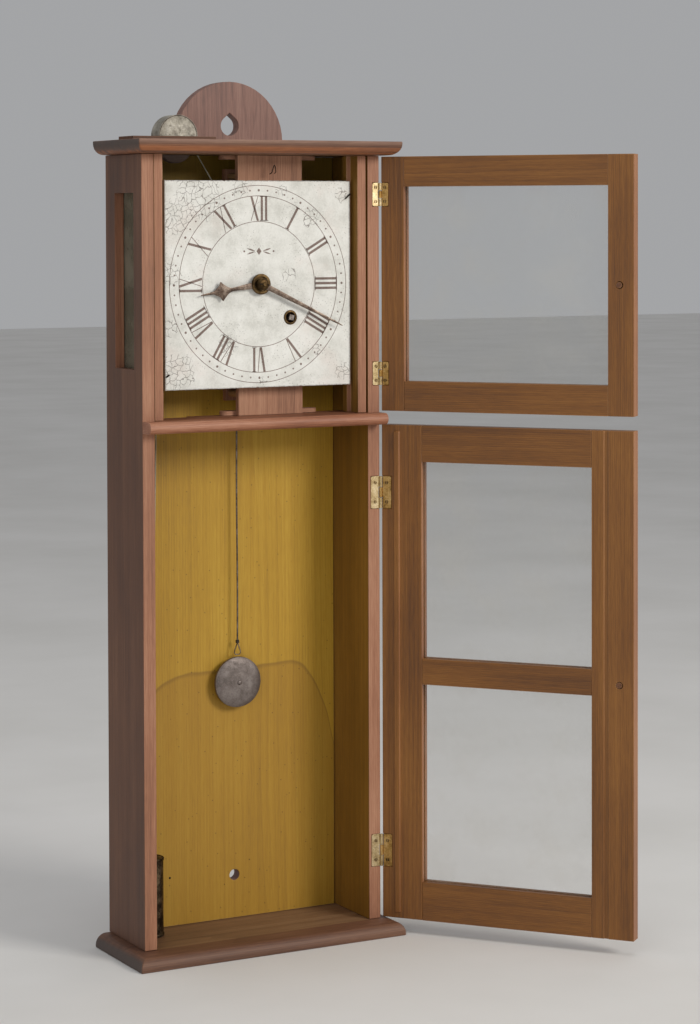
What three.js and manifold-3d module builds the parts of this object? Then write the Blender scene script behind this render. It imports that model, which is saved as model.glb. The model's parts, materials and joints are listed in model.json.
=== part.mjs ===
// Wall clock: a shallow wooden case with two glazed doors, a wooden weight-driven movement,
// a pendulum and one weight. Units are millimetres, +Z is up, -Y faces the room.
// Inside the file, heights are measured from the underside of the case and depths from the
// front edges of its sides. The finished group is shifted so that its origin is the hanging
// hole, on the wall plane.

import * as THREE from 'three';
import { mergeVertices } from 'three/addons/utils/BufferGeometryUtils.js';
import { ConvexGeometry } from 'three/addons/geometries/ConvexGeometry.js';
import Module from 'manifold-3d';

const wasm = await Module();
wasm.setup();

// ---------------------------------------------------------------- driving dimensions

const GAP = 0.3;                 // clearance between touching pieces
const CUT_PAST = 0.01;           // how far a cutter runs past an open face

// Case
const CASE_W = 250;
const CASE_D = 82;
const SIDE_T = 12.5;
const BOARD_T = 13;              // base and top board
const SIDE_H = 738;
const BASE_OVERHANG = { side: 14.5, front: 25 };
const TOP_OVERHANG = { side: 13, front: 24 };
const BOARD_ROUND = 10.5;        // radius of the quarter round on base and top
const BACK_T = 12;
const HEAD_R = 57;
const HEAD_RISE = 1.5;           // straight part under the half round
const HANG_HOLE = { r: 9.4, notch: 12.5 };  // notch: its worn top, above the centre
const HANG_ABOVE_TOP = 16;
const FIXING_HOLE = { x: 2, z: 55, r: 5.2 };

// Rail between the doors, which also seats the movement
const RAIL_Z = 493;
const RAIL_H = 11;
const RAIL_NOSE = 18.5;
const SEAT_D = 33;               // seat depth beside the weight
const WORKS_SEAT = { x0: -60, depth: 44 };  // deeper part under the movement

// Side windows
const WINDOW = { y0: 18.5, y1: 61, z0: 551, z1: 715 };
const RABBET = 3;
const GLASS_T = 2;

// Dial and the battens that hold it
const DIAL_S = 196;
const DIAL_Z = 629;
const DIAL_Y = 8.6;
const DIAL_T = 5;
const DIAL_HOLE_R = { center: 4.7, winding: 6.3 };
const STRIPS = { left: [-112.2, -103.8], right: [101.5, 110.5] };
const BATTEN_IN = 97;
const BATTEN_T = 8;

// Movement plates
const PLATE_X0 = -14.3;
const PLATE_X1 = 53.9;
const FRONT_PLATE_Y = 24;
const PLATE_T = 6;
const BACK_PLATE_Y = 52;
const BACK_PLATE_INSET = 13;
const CLEAT = { x0: -28, x1: 74, depth: 12, height: 4 };

// Arbors, as offsets from the dial centre, and the wheels on them
const CENTER = { x: 0, z: 0 };
const GREAT = { x: 33, z: -32 };
const THIRD = { x: 25.2, z: 19.7 };
const ESCAPE = { x: 14, z: 43 };
const VERGE = { x: 2, z: 75 };
const MINUTE_STUD = { x: 8.4, z: 14.55 };
const GREAT_TEETH = 72;
const CENTER_LEAVES = 12;
const CENTER_TEETH = 72;
const THIRD_LEAVES = 8;
const THIRD_TEETH = 66;
const ESCAPE_LEAVES = 8;
const ESCAPE_TEETH = 36;
const ESCAPE_R = 20.5;
const CANNON_LEAVES = 12;
const MINUTE_TEETH = 36;
const MINUTE_LEAVES = 10;
const HOUR_TEETH = 40;

// Cord, pulley and weight
const CORD_R = 0.7;
const CORD_RUN_R = 15;           // radius of the cord's centre line on drum and pulley
const CORD_Y = 48;
const PULLEY = { x: -69, z: 761.2, r: 18.2, t: 7, axleR: 1.6, axleHalf: 5.2 };
const PULLEY_SLOT = { left: 2, right: 8, half: 5.5 };  // clearance round the pulley
const PULLEY_PLATE = { x0: -117, x1: -31, y0: 36, y1: 69, t: 4, clear: 0.9 };
const HOOD = { r: 20, wall: 1, depth: 18 };
const WEIGHT = { x: -96.5, y: 50, z: BOARD_T + 0.6, r: 13, h: 74, loop: 3.2 };

// Pendulum
const PENDULUM_Y = 61.8;
const ROD_R = 1.4;
const ROD_BOTTOM_Z = 272;
const BOB_Z = 244;
const BOB_R = 24.5;
const BOB_T = 10;

// Doors, measured from the hinge axis
const HINGE_AXIS_X = CASE_W / 2 + 1;
const HINGE_AXIS_Y = -0.5;
const DOOR_T = 13.5;
const DOOR_FACE = -0.5;          // inner face, from the axis, with the door closed
const DOOR_EDGE = 1;
const DOOR_W = 252;
const DOOR_OPEN_DEG = 129;
const UPPER_DOOR = {
  z0: 505.5, z1: 750, hinge: 23.3, free: 25, bottom: 28.6, top: 28.8, knobAt: 239, knobZ: 628,
};
const LOWER_DOOR = {
  z0: 14.5, z1: 492, hinge: 41, free: 41, bottom: 37, top: 35, knobAt: 239, knobZ: 254,
};
const LOWER_MIDDLE = { z0: 242.8, z1: 267.7 };
const BEAD = { near: 14.2, width: 5.2, proud: 2.4 };
const LIP_GROOVE = { near: 224, width: 4.5, depth: 1 };
const TENON = { length: 16, thickness: 4.5 };
const PANE_T = 2;
const PANE_LAP = 4;
const KNOB = { r: 7.5, shank: 3.2, reach: 14 };
const HINGE = { leaf: 1, barrel: 1.7, pin: 0.75 };
const HINGES = {
  upper_door_top_hinge: { z: 713.7, height: 22.5, width: 8, door: 'upper' },
  upper_door_bottom_hinge: { z: 541.5, height: 22.5, width: 8, door: 'upper' },
  lower_door_top_hinge: { z: 426.7, height: 31, width: 10.5, door: 'lower' },
  lower_door_bottom_hinge: { z: 79.5, height: 31, width: 10.5, door: 'lower' },
};

const TOP_Z = BOARD_T + SIDE_H;
const HEAD_Z = TOP_Z + BOARD_T;
const HANG_Z = HEAD_Z + HANG_ABOVE_TOP;
const BACK_Y = CASE_D - BACK_T;
const INNER_X = CASE_W / 2 - SIDE_T;
const RAIL_TOP = RAIL_Z + RAIL_H;
const DEG = Math.PI / 180;

// ---------------------------------------------------------------- materials

const finish = (color, roughness, metalness = 0) =>
  new THREE.MeshStandardMaterial({ color, roughness, metalness });

const PINE = finish(0x8a5a3c, 0.65);
const GOLDEN = finish(0xa8822a, 0.7);
const DOOR_WOOD = finish(0x8c5e2c, 0.55);
const WORKS_WOOD = finish(0x9a7442, 0.7);
const DIAL_PAINT = finish(0xd8d8d0, 0.5);
const CLEAR_GLASS = finish(0x9aa69c, 0.08);
const BRASS = finish(0xc9a050, 0.35, 1);
const STEEL = finish(0x8d8f90, 0.4, 1);
const PEWTER = finish(0x78706a, 0.45, 1);
const TIN = finish(0xa8a498, 0.4, 1);
const HAND_BLACK = finish(0x2a2522, 0.5);
const CORD_FIBRE = finish(0xb8b2a0, 0.9);

// ---------------------------------------------------------------- geometry helpers

/** A manifold-3d solid made from a closed three.js geometry. */
function solid(geometry) {
  const bare = geometry.index ? geometry.clone() : geometry;
  bare.deleteAttribute('normal');
  bare.deleteAttribute('uv');
  const merged = mergeVertices(bare, 1e-4);
  const vertProperties = new Float32Array(merged.attributes.position.array);
  const triVerts = new Uint32Array(merged.index.array);
  return new wasm.Manifold(new wasm.Mesh({ numProp: 3, vertProperties, triVerts }));
}

/** The three.js geometry of a manifold-3d solid. */
function shell(body) {
  const mesh = body.getMesh();
  const geometry = new THREE.BufferGeometry();
  geometry.setAttribute('position', new THREE.BufferAttribute(mesh.vertProperties, 3));
  geometry.setIndex(new THREE.BufferAttribute(mesh.triVerts, 1));
  return geometry;
}

/** Joins all the geometries in adds and cuts away those in cuts. */
function combine(adds, cuts = []) {
  let body = solid(adds[0]);
  for (const add of adds.slice(1)) body = body.add(solid(add));
  for (const cut of cuts) body = body.subtract(solid(cut));
  return shell(body);
}

/** A block between two corners. */
function block(x0, x1, y0, y1, z0, z1) {
  const geometry = new THREE.BoxGeometry(x1 - x0, y1 - y0, z1 - z0);
  return geometry.translate((x0 + x1) / 2, (y0 + y1) / 2, (z0 + z1) / 2);
}

/** A round bar along Y from y0 to y1. */
function rodY(r, y0, y1, x, z, segments = 20) {
  const geometry = new THREE.CylinderGeometry(r, r, y1 - y0, segments);
  return geometry.translate(x, (y0 + y1) / 2, z);
}

/** A round bar along Z from z0 to z1. */
function rodZ(r, z0, z1, x, y, segments = 16) {
  const geometry = new THREE.CylinderGeometry(r, r, z1 - z0, segments);
  return geometry.rotateX(90 * DEG).translate(x, y, (z0 + z1) / 2);
}

/** A shape drawn in X and Z, with its thickness from y0 to y1. */
function plateY(shape, y0, y1, curveSegments = 10) {
  const geometry = new THREE.ExtrudeGeometry(shape, {
    depth: y1 - y0, bevelEnabled: false, curveSegments,
  });
  return geometry.rotateX(90 * DEG).translate(0, y1, 0);
}

/** A shape drawn in Y and Z, extruded along X from x0 to x1. */
function extrudeX(shape, x0, x1) {
  const geometry = new THREE.ExtrudeGeometry(shape, {
    depth: x1 - x0, bevelEnabled: false, curveSegments: 8,
  });
  return geometry.rotateY(90 * DEG).rotateX(90 * DEG).translate(x0, 0, 0);
}

/** A body of revolution about a Y axis through (x, z). The profile is [radius, y] pairs. */
function turnedY(profile, x, z, segments = 32) {
  const points = profile.map(([r, y]) => new THREE.Vector2(r, y));
  return new THREE.LatheGeometry(points, segments).translate(x, 0, z);
}

/** A body of revolution about a vertical axis through (x, y). The profile is [radius, z] pairs. */
function turnedZ(profile, x, y, segments = 28) {
  const points = profile.map(([r, z]) => new THREE.Vector2(r, z));
  return new THREE.LatheGeometry(points, segments).rotateX(90 * DEG).translate(x, y, 0);
}

/** A closed outline through [x, z] points. */
function outline(points) {
  return new THREE.Shape(points.map(([x, z]) => new THREE.Vector2(x, z)));
}

/** A ring-shaped profile for a lathe, closed on itself, with flat ends. */
const ringProfile = (inner, outer, y0, y1) =>
  [[inner, y0], [outer, y0], [outer, y1], [inner, y1], [inner, y0]];

/** A round tube along a path. */
function tube(path, r, steps, sides = 8) {
  const section = new THREE.Shape();
  section.absarc(0, 0, r, 0, 2 * Math.PI, false);
  return new THREE.ExtrudeGeometry(section, {
    steps, extrudePath: path, curveSegments: sides / 2,
  });
}

/**
 * A toothed wheel outline around a centre. Teeth are straight-flanked and cut thin, so that
 * meshing teeth keep clear of each other all round. phase is the angle of one tooth.
 */
function gearShape(center, teeth, pitchR, phase, { tip = 0.8, root = 1.15 } = {}) {
  const module = (2 * pitchR) / teeth;
  const pitch = (2 * Math.PI) / teeth;
  const rootR = pitchR - root * module;
  const tipR = pitchR + tip * module;
  const points = [];
  for (let k = 0; k < teeth; k += 1) {
    const middle = phase + k * pitch;
    const corners = [[rootR, -0.21], [tipR, -0.08], [tipR, 0.08], [rootR, 0.21]];
    for (const [r, share] of corners) {
      const angle = middle + share * pitch;
      points.push([center.x + r * Math.cos(angle), center.z + r * Math.sin(angle)]);
    }
  }
  return outline(points);
}

/** A round hole with a given number of flats. */
function roundHole(center, r, flats = 16) {
  const points = [];
  for (let k = 0; k < flats; k += 1) {
    const angle = (-2 * Math.PI * k) / flats;
    points.push(new THREE.Vector2(center.x + r * Math.cos(angle), center.z + r * Math.sin(angle)));
  }
  return new THREE.Path(points);
}

/** Cuts a round hole, and optionally a ring of sector openings that leave spokes. */
function addOpenings(shape, center, boreR, spokes = null) {
  shape.holes.push(roundHole(center, boreR));
  if (!spokes) return shape;
  const step = (2 * Math.PI) / spokes.count;
  for (let k = 0; k < spokes.count; k += 1) {
    const a0 = k * step + spokes.halfWidth / spokes.outer;
    const a1 = (k + 1) * step - spokes.halfWidth / spokes.outer;
    const b0 = k * step + spokes.halfWidth / spokes.inner;
    const b1 = (k + 1) * step - spokes.halfWidth / spokes.inner;
    const window = new THREE.Path();
    window.absarc(center.x, center.z, spokes.outer, a0, a1, false);
    window.absarc(center.x, center.z, spokes.inner, b1, b0, true);
    window.closePath();
    shape.holes.push(window);
  }
  return shape;
}

const fromDial = ({ x, z }) => ({ x, z: DIAL_Z + z });
const distance = (a, b) => Math.hypot(a.x - b.x, a.z - b.z);
const bearing = (a, b) => Math.atan2(b.z - a.z, b.x - a.x);

/** Pitch radii and tooth phases of two meshing wheels on given centres. */
function mesh(a, teethA, b, teethB) {
  const apart = distance(a, b);
  const angle = bearing(a, b);
  return {
    rA: (apart * teethA) / (teethA + teethB),
    rB: (apart * teethB) / (teethA + teethB),
    phaseA: angle,
    phaseB: angle + Math.PI + Math.PI / teethB,
  };
}

// ---------------------------------------------------------------- assembly

const clock = new THREE.Group();
const works = new THREE.Group();
clock.add(works);

/** Adds a named piece to a group. */
function piece(group, name, geometry, material) {
  const node = new THREE.Mesh(geometry, material);
  node.name = name;
  group.add(node);
  return node;
}

// ---------------------------------------------------------------- case

/** A board with a quarter round along its front and both ends, on the edge facing inward. */
function mouldedBoard(z0, roundedAtTop, overhang) {
  const halfW = CASE_W / 2 + overhang.side;
  const levels = [[0, 0], [BOARD_T - BOARD_ROUND, 0]];
  for (let k = 1; k <= 6; k += 1) {
    const angle = (k / 6) * 90 * DEG;
    levels.push([
      BOARD_T - BOARD_ROUND + BOARD_ROUND * Math.sin(angle),
      BOARD_ROUND * (1 - Math.cos(angle)),
    ]);
  }
  const points = [];
  for (const [height, inset] of levels) {
    const z = roundedAtTop ? z0 + height : z0 + BOARD_T - height;
    const front = -overhang.front + inset;
    for (const x of [-halfW + inset, halfW - inset]) {
      points.push(new THREE.Vector3(x, front, z), new THREE.Vector3(x, CASE_D, z));
    }
  }
  return new ConvexGeometry(points);
}

function buildBoards() {
  const base = combine([mouldedBoard(0, true, BASE_OVERHANG)]);
  piece(clock, 'base_board', base, PINE);

  const headSlot = block(
    -HEAD_R - GAP, HEAD_R + GAP, BACK_Y - GAP, CASE_D + 1, TOP_Z - 1, HEAD_Z + 1);
  const { left, right, half } = PULLEY_SLOT;
  const pulleySlot = block(
    PULLEY.x - PULLEY.r - left, PULLEY.x + PULLEY.r + right, CORD_Y - half, CORD_Y + half,
    TOP_Z - 1, HEAD_Z + 1);
  const board = mouldedBoard(TOP_Z, false, TOP_OVERHANG);
  const top = combine([board], [headSlot, pulleySlot]);
  piece(clock, 'top_board', top, PINE);
}

/** The hanging hole: round, with a point worn into its top. */
function hangingHole() {
  const spread = Math.acos(HANG_HOLE.r / HANG_HOLE.notch);
  const hole = new THREE.Path();
  hole.absarc(0, HANG_Z, HANG_HOLE.r, 90 * DEG - spread, -270 * DEG + spread, true);
  hole.lineTo(0, HANG_Z + HANG_HOLE.notch);
  hole.closePath();
  return hole;
}

function buildBack() {
  const shape = outline([
    [-INNER_X + GAP, BOARD_T + GAP], [INNER_X - GAP, BOARD_T + GAP],
    [INNER_X - GAP, TOP_Z - GAP], [HEAD_R, TOP_Z - GAP], [HEAD_R, HEAD_Z + HEAD_RISE],
  ]);
  shape.absarc(0, HEAD_Z + HEAD_RISE, HEAD_R, 0, Math.PI, false);
  shape.lineTo(-HEAD_R, TOP_Z - GAP);
  shape.lineTo(-INNER_X + GAP, TOP_Z - GAP);
  const fixing = roundHole(FIXING_HOLE, FIXING_HOLE.r, 24);
  shape.holes.push(hangingHole(), fixing);
  piece(clock, 'back_board', plateY(shape, BACK_Y, CASE_D, 12), PINE);
}

/** Shallow recesses for the case leaves, cut in the front edge of the hinge side. */
function leafRecesses() {
  return Object.values(HINGES).map(({ z, height, width }) => block(
    HINGE_AXIS_X - width - GAP, CASE_W / 2 + 1, -1, HINGE.leaf + GAP,
    z - height / 2 - GAP, z + height / 2 + GAP));
}

function buildSides() {
  for (const [name, sign] of [['left', -1], ['right', 1]]) {
    const [x0, x1] = sign < 0 ? [-CASE_W / 2, -INNER_X] : [INNER_X, CASE_W / 2];
    const board = block(x0, x1, 0, CASE_D, BOARD_T + GAP, TOP_Z - GAP);
    const light = block(x0 - 1, x1 + 1, WINDOW.y0, WINDOW.y1, WINDOW.z0, WINDOW.z1);
    const inner = sign * INNER_X;
    const deep = sign * (INNER_X + RABBET);
    const rabbet = block(
      Math.min(deep, inner - sign), Math.max(deep, inner - sign), WINDOW.y0 - RABBET,
      WINDOW.y1 + RABBET, WINDOW.z0 - RABBET, WINDOW.z1 + RABBET);
    const recesses = sign > 0 ? leafRecesses() : [];
    piece(clock, `${name}_side`, combine([board], [light, rabbet, ...recesses]), PINE);

    const glassOuter = deep - sign * GAP;
    const glassInner = glassOuter - sign * GLASS_T;
    const glass = block(
      Math.min(glassOuter, glassInner), Math.max(glassOuter, glassInner),
      WINDOW.y0 - RABBET + GAP, WINDOW.y1 + RABBET - GAP,
      WINDOW.z0 - RABBET + GAP, WINDOW.z1 + RABBET - GAP);
    piece(clock, `${name}_side_glass`, glass, CLEAR_GLASS);
  }
}

/** The rail between the doors: a bullnose in front and a flat seat behind it. */
function buildRail() {
  const r = RAIL_H / 2;
  const nose = new THREE.Shape();
  nose.moveTo(-GAP, RAIL_Z);
  nose.lineTo(-GAP, RAIL_TOP);
  nose.lineTo(-RAIL_NOSE + r, RAIL_TOP);
  nose.absarc(-RAIL_NOSE + r, RAIL_Z + r, r, 90 * DEG, 270 * DEG, false);
  const front = extrudeX(nose, -CASE_W / 2, CASE_W / 2);
  const seat = block(-INNER_X + GAP, INNER_X - GAP, -2, SEAT_D, RAIL_Z, RAIL_TOP);
  const worksSeat = block(
    WORKS_SEAT.x0, INNER_X - GAP, -2, WORKS_SEAT.depth, RAIL_Z, RAIL_TOP);
  piece(clock, 'middle_rail', combine([front, seat, worksSeat]), DOOR_WOOD);
}

/** Upright strips beside the dial, each with a batten behind the dial's edge. */
function buildDialBattens() {
  const battenY = DIAL_Y + DIAL_T + GAP;
  for (const [name, sign] of [['left', -1], ['right', 1]]) {
    const [s0, s1] = STRIPS[name];
    const wall = INNER_X - GAP;
    const [b0, b1] = sign > 0 ? [BATTEN_IN, wall] : [-wall, -BATTEN_IN];
    const z0 = RAIL_TOP + GAP;
    const z1 = TOP_Z - GAP;
    const strip = block(s0, s1, 0, battenY + BATTEN_T, z0, z1);
    const batten = block(b0, b1, battenY, battenY + BATTEN_T, z0, z1);
    piece(clock, `${name}_dial_batten`, combine([strip, batten]), GOLDEN);
  }
}

/** The parts over the pulley: plate on the top board and tin hood. */
function buildPulleyParts() {
  const plateZ = HEAD_Z + GAP;
  const { x0, x1, y0, y1, t, clear } = PULLEY_PLATE;
  const reach = PULLEY.r + clear;
  const slot = block(
    PULLEY.x - reach, PULLEY.x + reach, CORD_Y - PULLEY_SLOT.half, CORD_Y + PULLEY_SLOT.half,
    plateZ - 1, plateZ + t + 1);
  const plate = block(x0, x1, y0, y1, plateZ, plateZ + t);
  piece(clock, 'pulley_plate', combine([plate], [slot]), PINE);

  const hoodZ = plateZ + t + GAP;
  const half = (r) => {
    const arch = new THREE.Shape();
    arch.absarc(PULLEY.x, hoodZ, r, 0, Math.PI, false);
    arch.closePath();
    return arch;
  };
  const deep = HOOD.depth / 2;
  const outer = plateY(half(HOOD.r), CORD_Y - deep, CORD_Y + deep, 12);
  const inner = plateY(
    half(HOOD.r - HOOD.wall), CORD_Y - deep + HOOD.wall, CORD_Y + deep - HOOD.wall, 12);
  inner.translate(0, 0, -CUT_PAST);
  piece(clock, 'pulley_hood', combine([outer], [inner]), TIN);
}

// ---------------------------------------------------------------- movement

const at = {
  center: fromDial(CENTER),
  great: fromDial(GREAT),
  third: fromDial(THIRD),
  escape: fromDial(ESCAPE),
  verge: fromDial(VERGE),
  minute: fromDial(MINUTE_STUD),
};
const greatMesh = mesh(at.great, GREAT_TEETH, at.center, CENTER_LEAVES);
const centerMesh = mesh(at.center, CENTER_TEETH, at.third, THIRD_LEAVES);
const thirdMesh = mesh(at.third, THIRD_TEETH, at.escape, ESCAPE_LEAVES);
const cannonMesh = mesh(at.minute, MINUTE_TEETH, at.center, CANNON_LEAVES);
const hourMesh = mesh(at.center, HOUR_TEETH, at.minute, MINUTE_LEAVES);
const ARBOR = { center: 2.2, winding: 2.5, thin: 1.5 };
const PIVOT_PLAY = 0.4;
const PIPE_R = { bore: 2.6, middle: 3.2, outer: 3.9 };  // the hour wheel's pipe
const BOSS = { r: 5.8, y0: -4, y1: 1.2 };
const STUD_R = 1.3;              // stud the minute wheel turns on
const PILLAR = { r: 3.5, inset: 6, drop: 20 };
const MOTION_BORE_R = 1.7;
const PALLETS = { clear: 4.2, span: 50 * DEG };
const CRUTCH = { half: 1.6, drop: 58, yokeHalf: 3.6, yokeH: 4, prong: { x: 2.8, half: 0.7 } };
const LEAF_TIP = { tip: 0.6 };   // pinion leaves stand less proud than wheel teeth

// Depths of the wheels, front and back
const DEPTH = {
  hourPipe: [4, 15.6],
  hourHand: [4.2, 5.2],
  hourCollar: [2.9, 4.4],
  minuteHand: [1.5, 2.4],
  minutePinion: [14.8, 19.4],
  minuteWheel: [19.3, 21.8],
  minuteStud: 14.6,
  hourWheel: [15.2, 17.4],
  cannonPinion: [18.8, 22.4],
  centerPinion: [31, 35.6],
  greatWheel: [31.5, 35],
  escapeWheel: [31.6, 33.6],
  pallets: [31.4, 33.8],
  thirdPinion: [36, 39.6],
  centerWheel: [36.6, 39],
  escapePinion: [40, 43.4],
  thirdWheel: [40.6, 43],
  crutch: [58.4, 59.6],
  crutchProngs: [58.6, 64.4],
};
const PIVOT_Y0 = FRONT_PLATE_Y + 1;
const PIVOT_Y1 = BACK_PLATE_Y + PLATE_T - 1;

/** Bores through a movement plate for the arbors that turn in it. */
function pivotBores(y0, y1) {
  const bore = (r, place) => rodY(r + PIVOT_PLAY, y0 - 1, y1 + 1, place.x, place.z, 16);
  return [
    bore(ARBOR.center, at.center), bore(ARBOR.winding, at.great), bore(ARBOR.thin, at.third),
    bore(ARBOR.thin, at.escape), bore(ARBOR.thin, at.verge),
  ];
}

function buildPlates() {
  const y0 = FRONT_PLATE_Y;
  const y1 = y0 + PLATE_T;
  const board = block(PLATE_X0, PLATE_X1, y0, y1, RAIL_TOP + GAP, TOP_Z - GAP);
  const stud = rodY(STUD_R, DEPTH.minuteStud, y1, at.minute.x, at.minute.z, 12);
  piece(works, 'front_plate', combine([board, stud], pivotBores(y0, y1)), WORKS_WOOD);

  const back0 = BACK_PLATE_Y;
  const back1 = back0 + PLATE_T;
  const backBoard = block(
    PLATE_X0, PLATE_X1, back0, back1, RAIL_TOP + BACK_PLATE_INSET, TOP_Z - BACK_PLATE_INSET);
  piece(works, 'back_plate', combine([backBoard], pivotBores(back0, back1)), WORKS_WOOD);

  for (const [name, z] of [['upper', TOP_Z - GAP - CLEAT.height], ['lower', RAIL_TOP + GAP]]) {
    const r = CLEAT.depth / 2;
    const middle = y1 + GAP + r;
    const strip = new THREE.Shape();
    strip.absarc(CLEAT.x1 - r, -middle, r, -90 * DEG, 90 * DEG, false);
    strip.absarc(CLEAT.x0 + r, -middle, r, 90 * DEG, 270 * DEG, false);
    strip.closePath();
    const geometry = new THREE.ExtrudeGeometry(strip, {
      depth: CLEAT.height, bevelEnabled: false, curveSegments: 10,
    });
    geometry.scale(1, -1, -1).translate(0, 0, z + CLEAT.height);
    piece(works, `${name}_cleat`, geometry, WORKS_WOOD);
  }

  const pillarY0 = y1 + GAP;
  const pillarY1 = BACK_PLATE_Y - GAP;
  for (const [row, z] of [['upper', TOP_Z - PILLAR.drop], ['lower', RAIL_TOP + PILLAR.drop]]) {
    for (const [side, x] of [['left', PLATE_X0 + PILLAR.inset], ['right', PLATE_X1 - PILLAR.inset]]) {
      const pillar = rodY(PILLAR.r, pillarY0, pillarY1, x, z, 16);
      piece(works, `${row}_${side}_pillar`, pillar, WORKS_WOOD);
    }
  }
}

function buildDial() {
  const half = DIAL_S / 2;
  const face = outline([
    [-half, DIAL_Z - half], [half, DIAL_Z - half], [half, DIAL_Z + half], [-half, DIAL_Z + half],
  ]);
  addOpenings(face, at.center, DIAL_HOLE_R.center);
  addOpenings(face, at.great, DIAL_HOLE_R.winding);
  piece(clock, 'dial', plateY(face, DIAL_Y, DIAL_Y + DIAL_T, 12), DIAL_PAINT);

  const collar = turnedY(
    [[3.8, DIAL_Y - 0.9], [6.8, DIAL_Y - 0.9], [7.4, DIAL_Y - GAP], [6, DIAL_Y - GAP],
      [6, DIAL_Y + 4], [3.8, DIAL_Y + 4], [3.8, DIAL_Y - 0.9]],
    at.great.x, at.great.z, 20);
  piece(clock, 'winding_collar', collar, BRASS);
}

/** Great wheel, loose on the winding arbor. */
function buildGreatWheel() {
  const shape = gearShape(at.great, GREAT_TEETH, greatMesh.rA, greatMesh.phaseA);
  addOpenings(shape, at.great, ARBOR.winding + PIVOT_PLAY, {
    count: 4, inner: 11, outer: 32, halfWidth: 3.5,
  });
  piece(works, 'great_wheel', plateY(shape, ...DEPTH.greatWheel, 3), WORKS_WOOD);
}

/** Cord drum turned in one with its winding arbor. */
function buildDrum() {
  const profile = [
    [0, 5.5], [ARBOR.winding, 5.5], [ARBOR.winding, 35.6], [12.5, 35.6], [12.5, 43],
    [17.5, 43], [17.5, 44.6], [13.9, 45.4], [13.9, 49.8], [17.5, 50.4], [17.5, 51.6],
    [ARBOR.winding, 51.6], [ARBOR.winding, PIVOT_Y1], [0, PIVOT_Y1],
  ];
  piece(works, 'winding_drum', turnedY(profile, at.great.x, at.great.z, 24), WORKS_WOOD);
}

/** Centre arbor with pinion, wheel, cannon pinion and the boss in front of the hands. */
function buildCenterArbor() {
  const { x, z } = at.center;
  const arbor = rodY(ARBOR.center, BOSS.y0 - 0.8, PIVOT_Y1, x, z);
  const pinion = plateY(gearShape(
    at.center, CENTER_LEAVES, greatMesh.rB, greatMesh.phaseB, LEAF_TIP), ...DEPTH.centerPinion);
  const wheelShape = gearShape(at.center, CENTER_TEETH, centerMesh.rA, centerMesh.phaseA);
  addOpenings(wheelShape, at.center, 1, { count: 4, inner: 8, outer: 23.5, halfWidth: 2.6 });
  const wheel = plateY(wheelShape, ...DEPTH.centerWheel, 3);
  const cannon = plateY(gearShape(
    at.center, CANNON_LEAVES, cannonMesh.rB, cannonMesh.phaseB, LEAF_TIP), ...DEPTH.cannonPinion);
  const boss = rodY(BOSS.r, BOSS.y0, BOSS.y1, x, z, 24);
  piece(works, 'center_arbor', combine([arbor, pinion, wheel, cannon, boss]), BRASS);
}

/** Third wheel with its pinion and arbor. */
function buildThirdWheel() {
  const { x, z } = at.third;
  const arbor = rodY(ARBOR.thin, PIVOT_Y0, PIVOT_Y1, x, z, 16);
  const pinion = plateY(gearShape(
    at.third, THIRD_LEAVES, centerMesh.rB, centerMesh.phaseB, LEAF_TIP), ...DEPTH.thirdPinion);
  const shape = gearShape(at.third, THIRD_TEETH, thirdMesh.rA, thirdMesh.phaseA);
  addOpenings(shape, at.third, 1, { count: 4, inner: 6.5, outer: 18.5, halfWidth: 2.2 });
  const wheel = plateY(shape, ...DEPTH.thirdWheel, 3);
  piece(works, 'third_wheel', combine([arbor, pinion, wheel]), BRASS);
}

/** Escape wheel with hooked teeth, its pinion and its arbor. */
function buildEscapeWheel() {
  const { x, z } = at.escape;
  const arbor = rodY(ARBOR.thin, PIVOT_Y0, PIVOT_Y1, x, z, 16);
  const pinion = plateY(gearShape(
    at.escape, ESCAPE_LEAVES, thirdMesh.rB, thirdMesh.phaseB, LEAF_TIP), ...DEPTH.escapePinion);
  const pitch = (2 * Math.PI) / ESCAPE_TEETH;
  const points = [];
  for (let k = 0; k < ESCAPE_TEETH; k += 1) {
    const corners = [[ESCAPE_R - 3, 0], [ESCAPE_R, 0.1], [ESCAPE_R, 0.2], [ESCAPE_R - 3, 0.7]];
    for (const [r, share] of corners) {
      const angle = (k + share) * pitch;
      points.push([x + r * Math.cos(angle), z + r * Math.sin(angle)]);
    }
  }
  const shape = outline(points);
  addOpenings(shape, at.escape, 1, { count: 4, inner: 5.5, outer: 14, halfWidth: 1.8 });
  const wheel = plateY(shape, ...DEPTH.escapeWheel, 3);
  piece(works, 'escape_wheel', combine([arbor, pinion, wheel]), BRASS);
}

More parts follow.
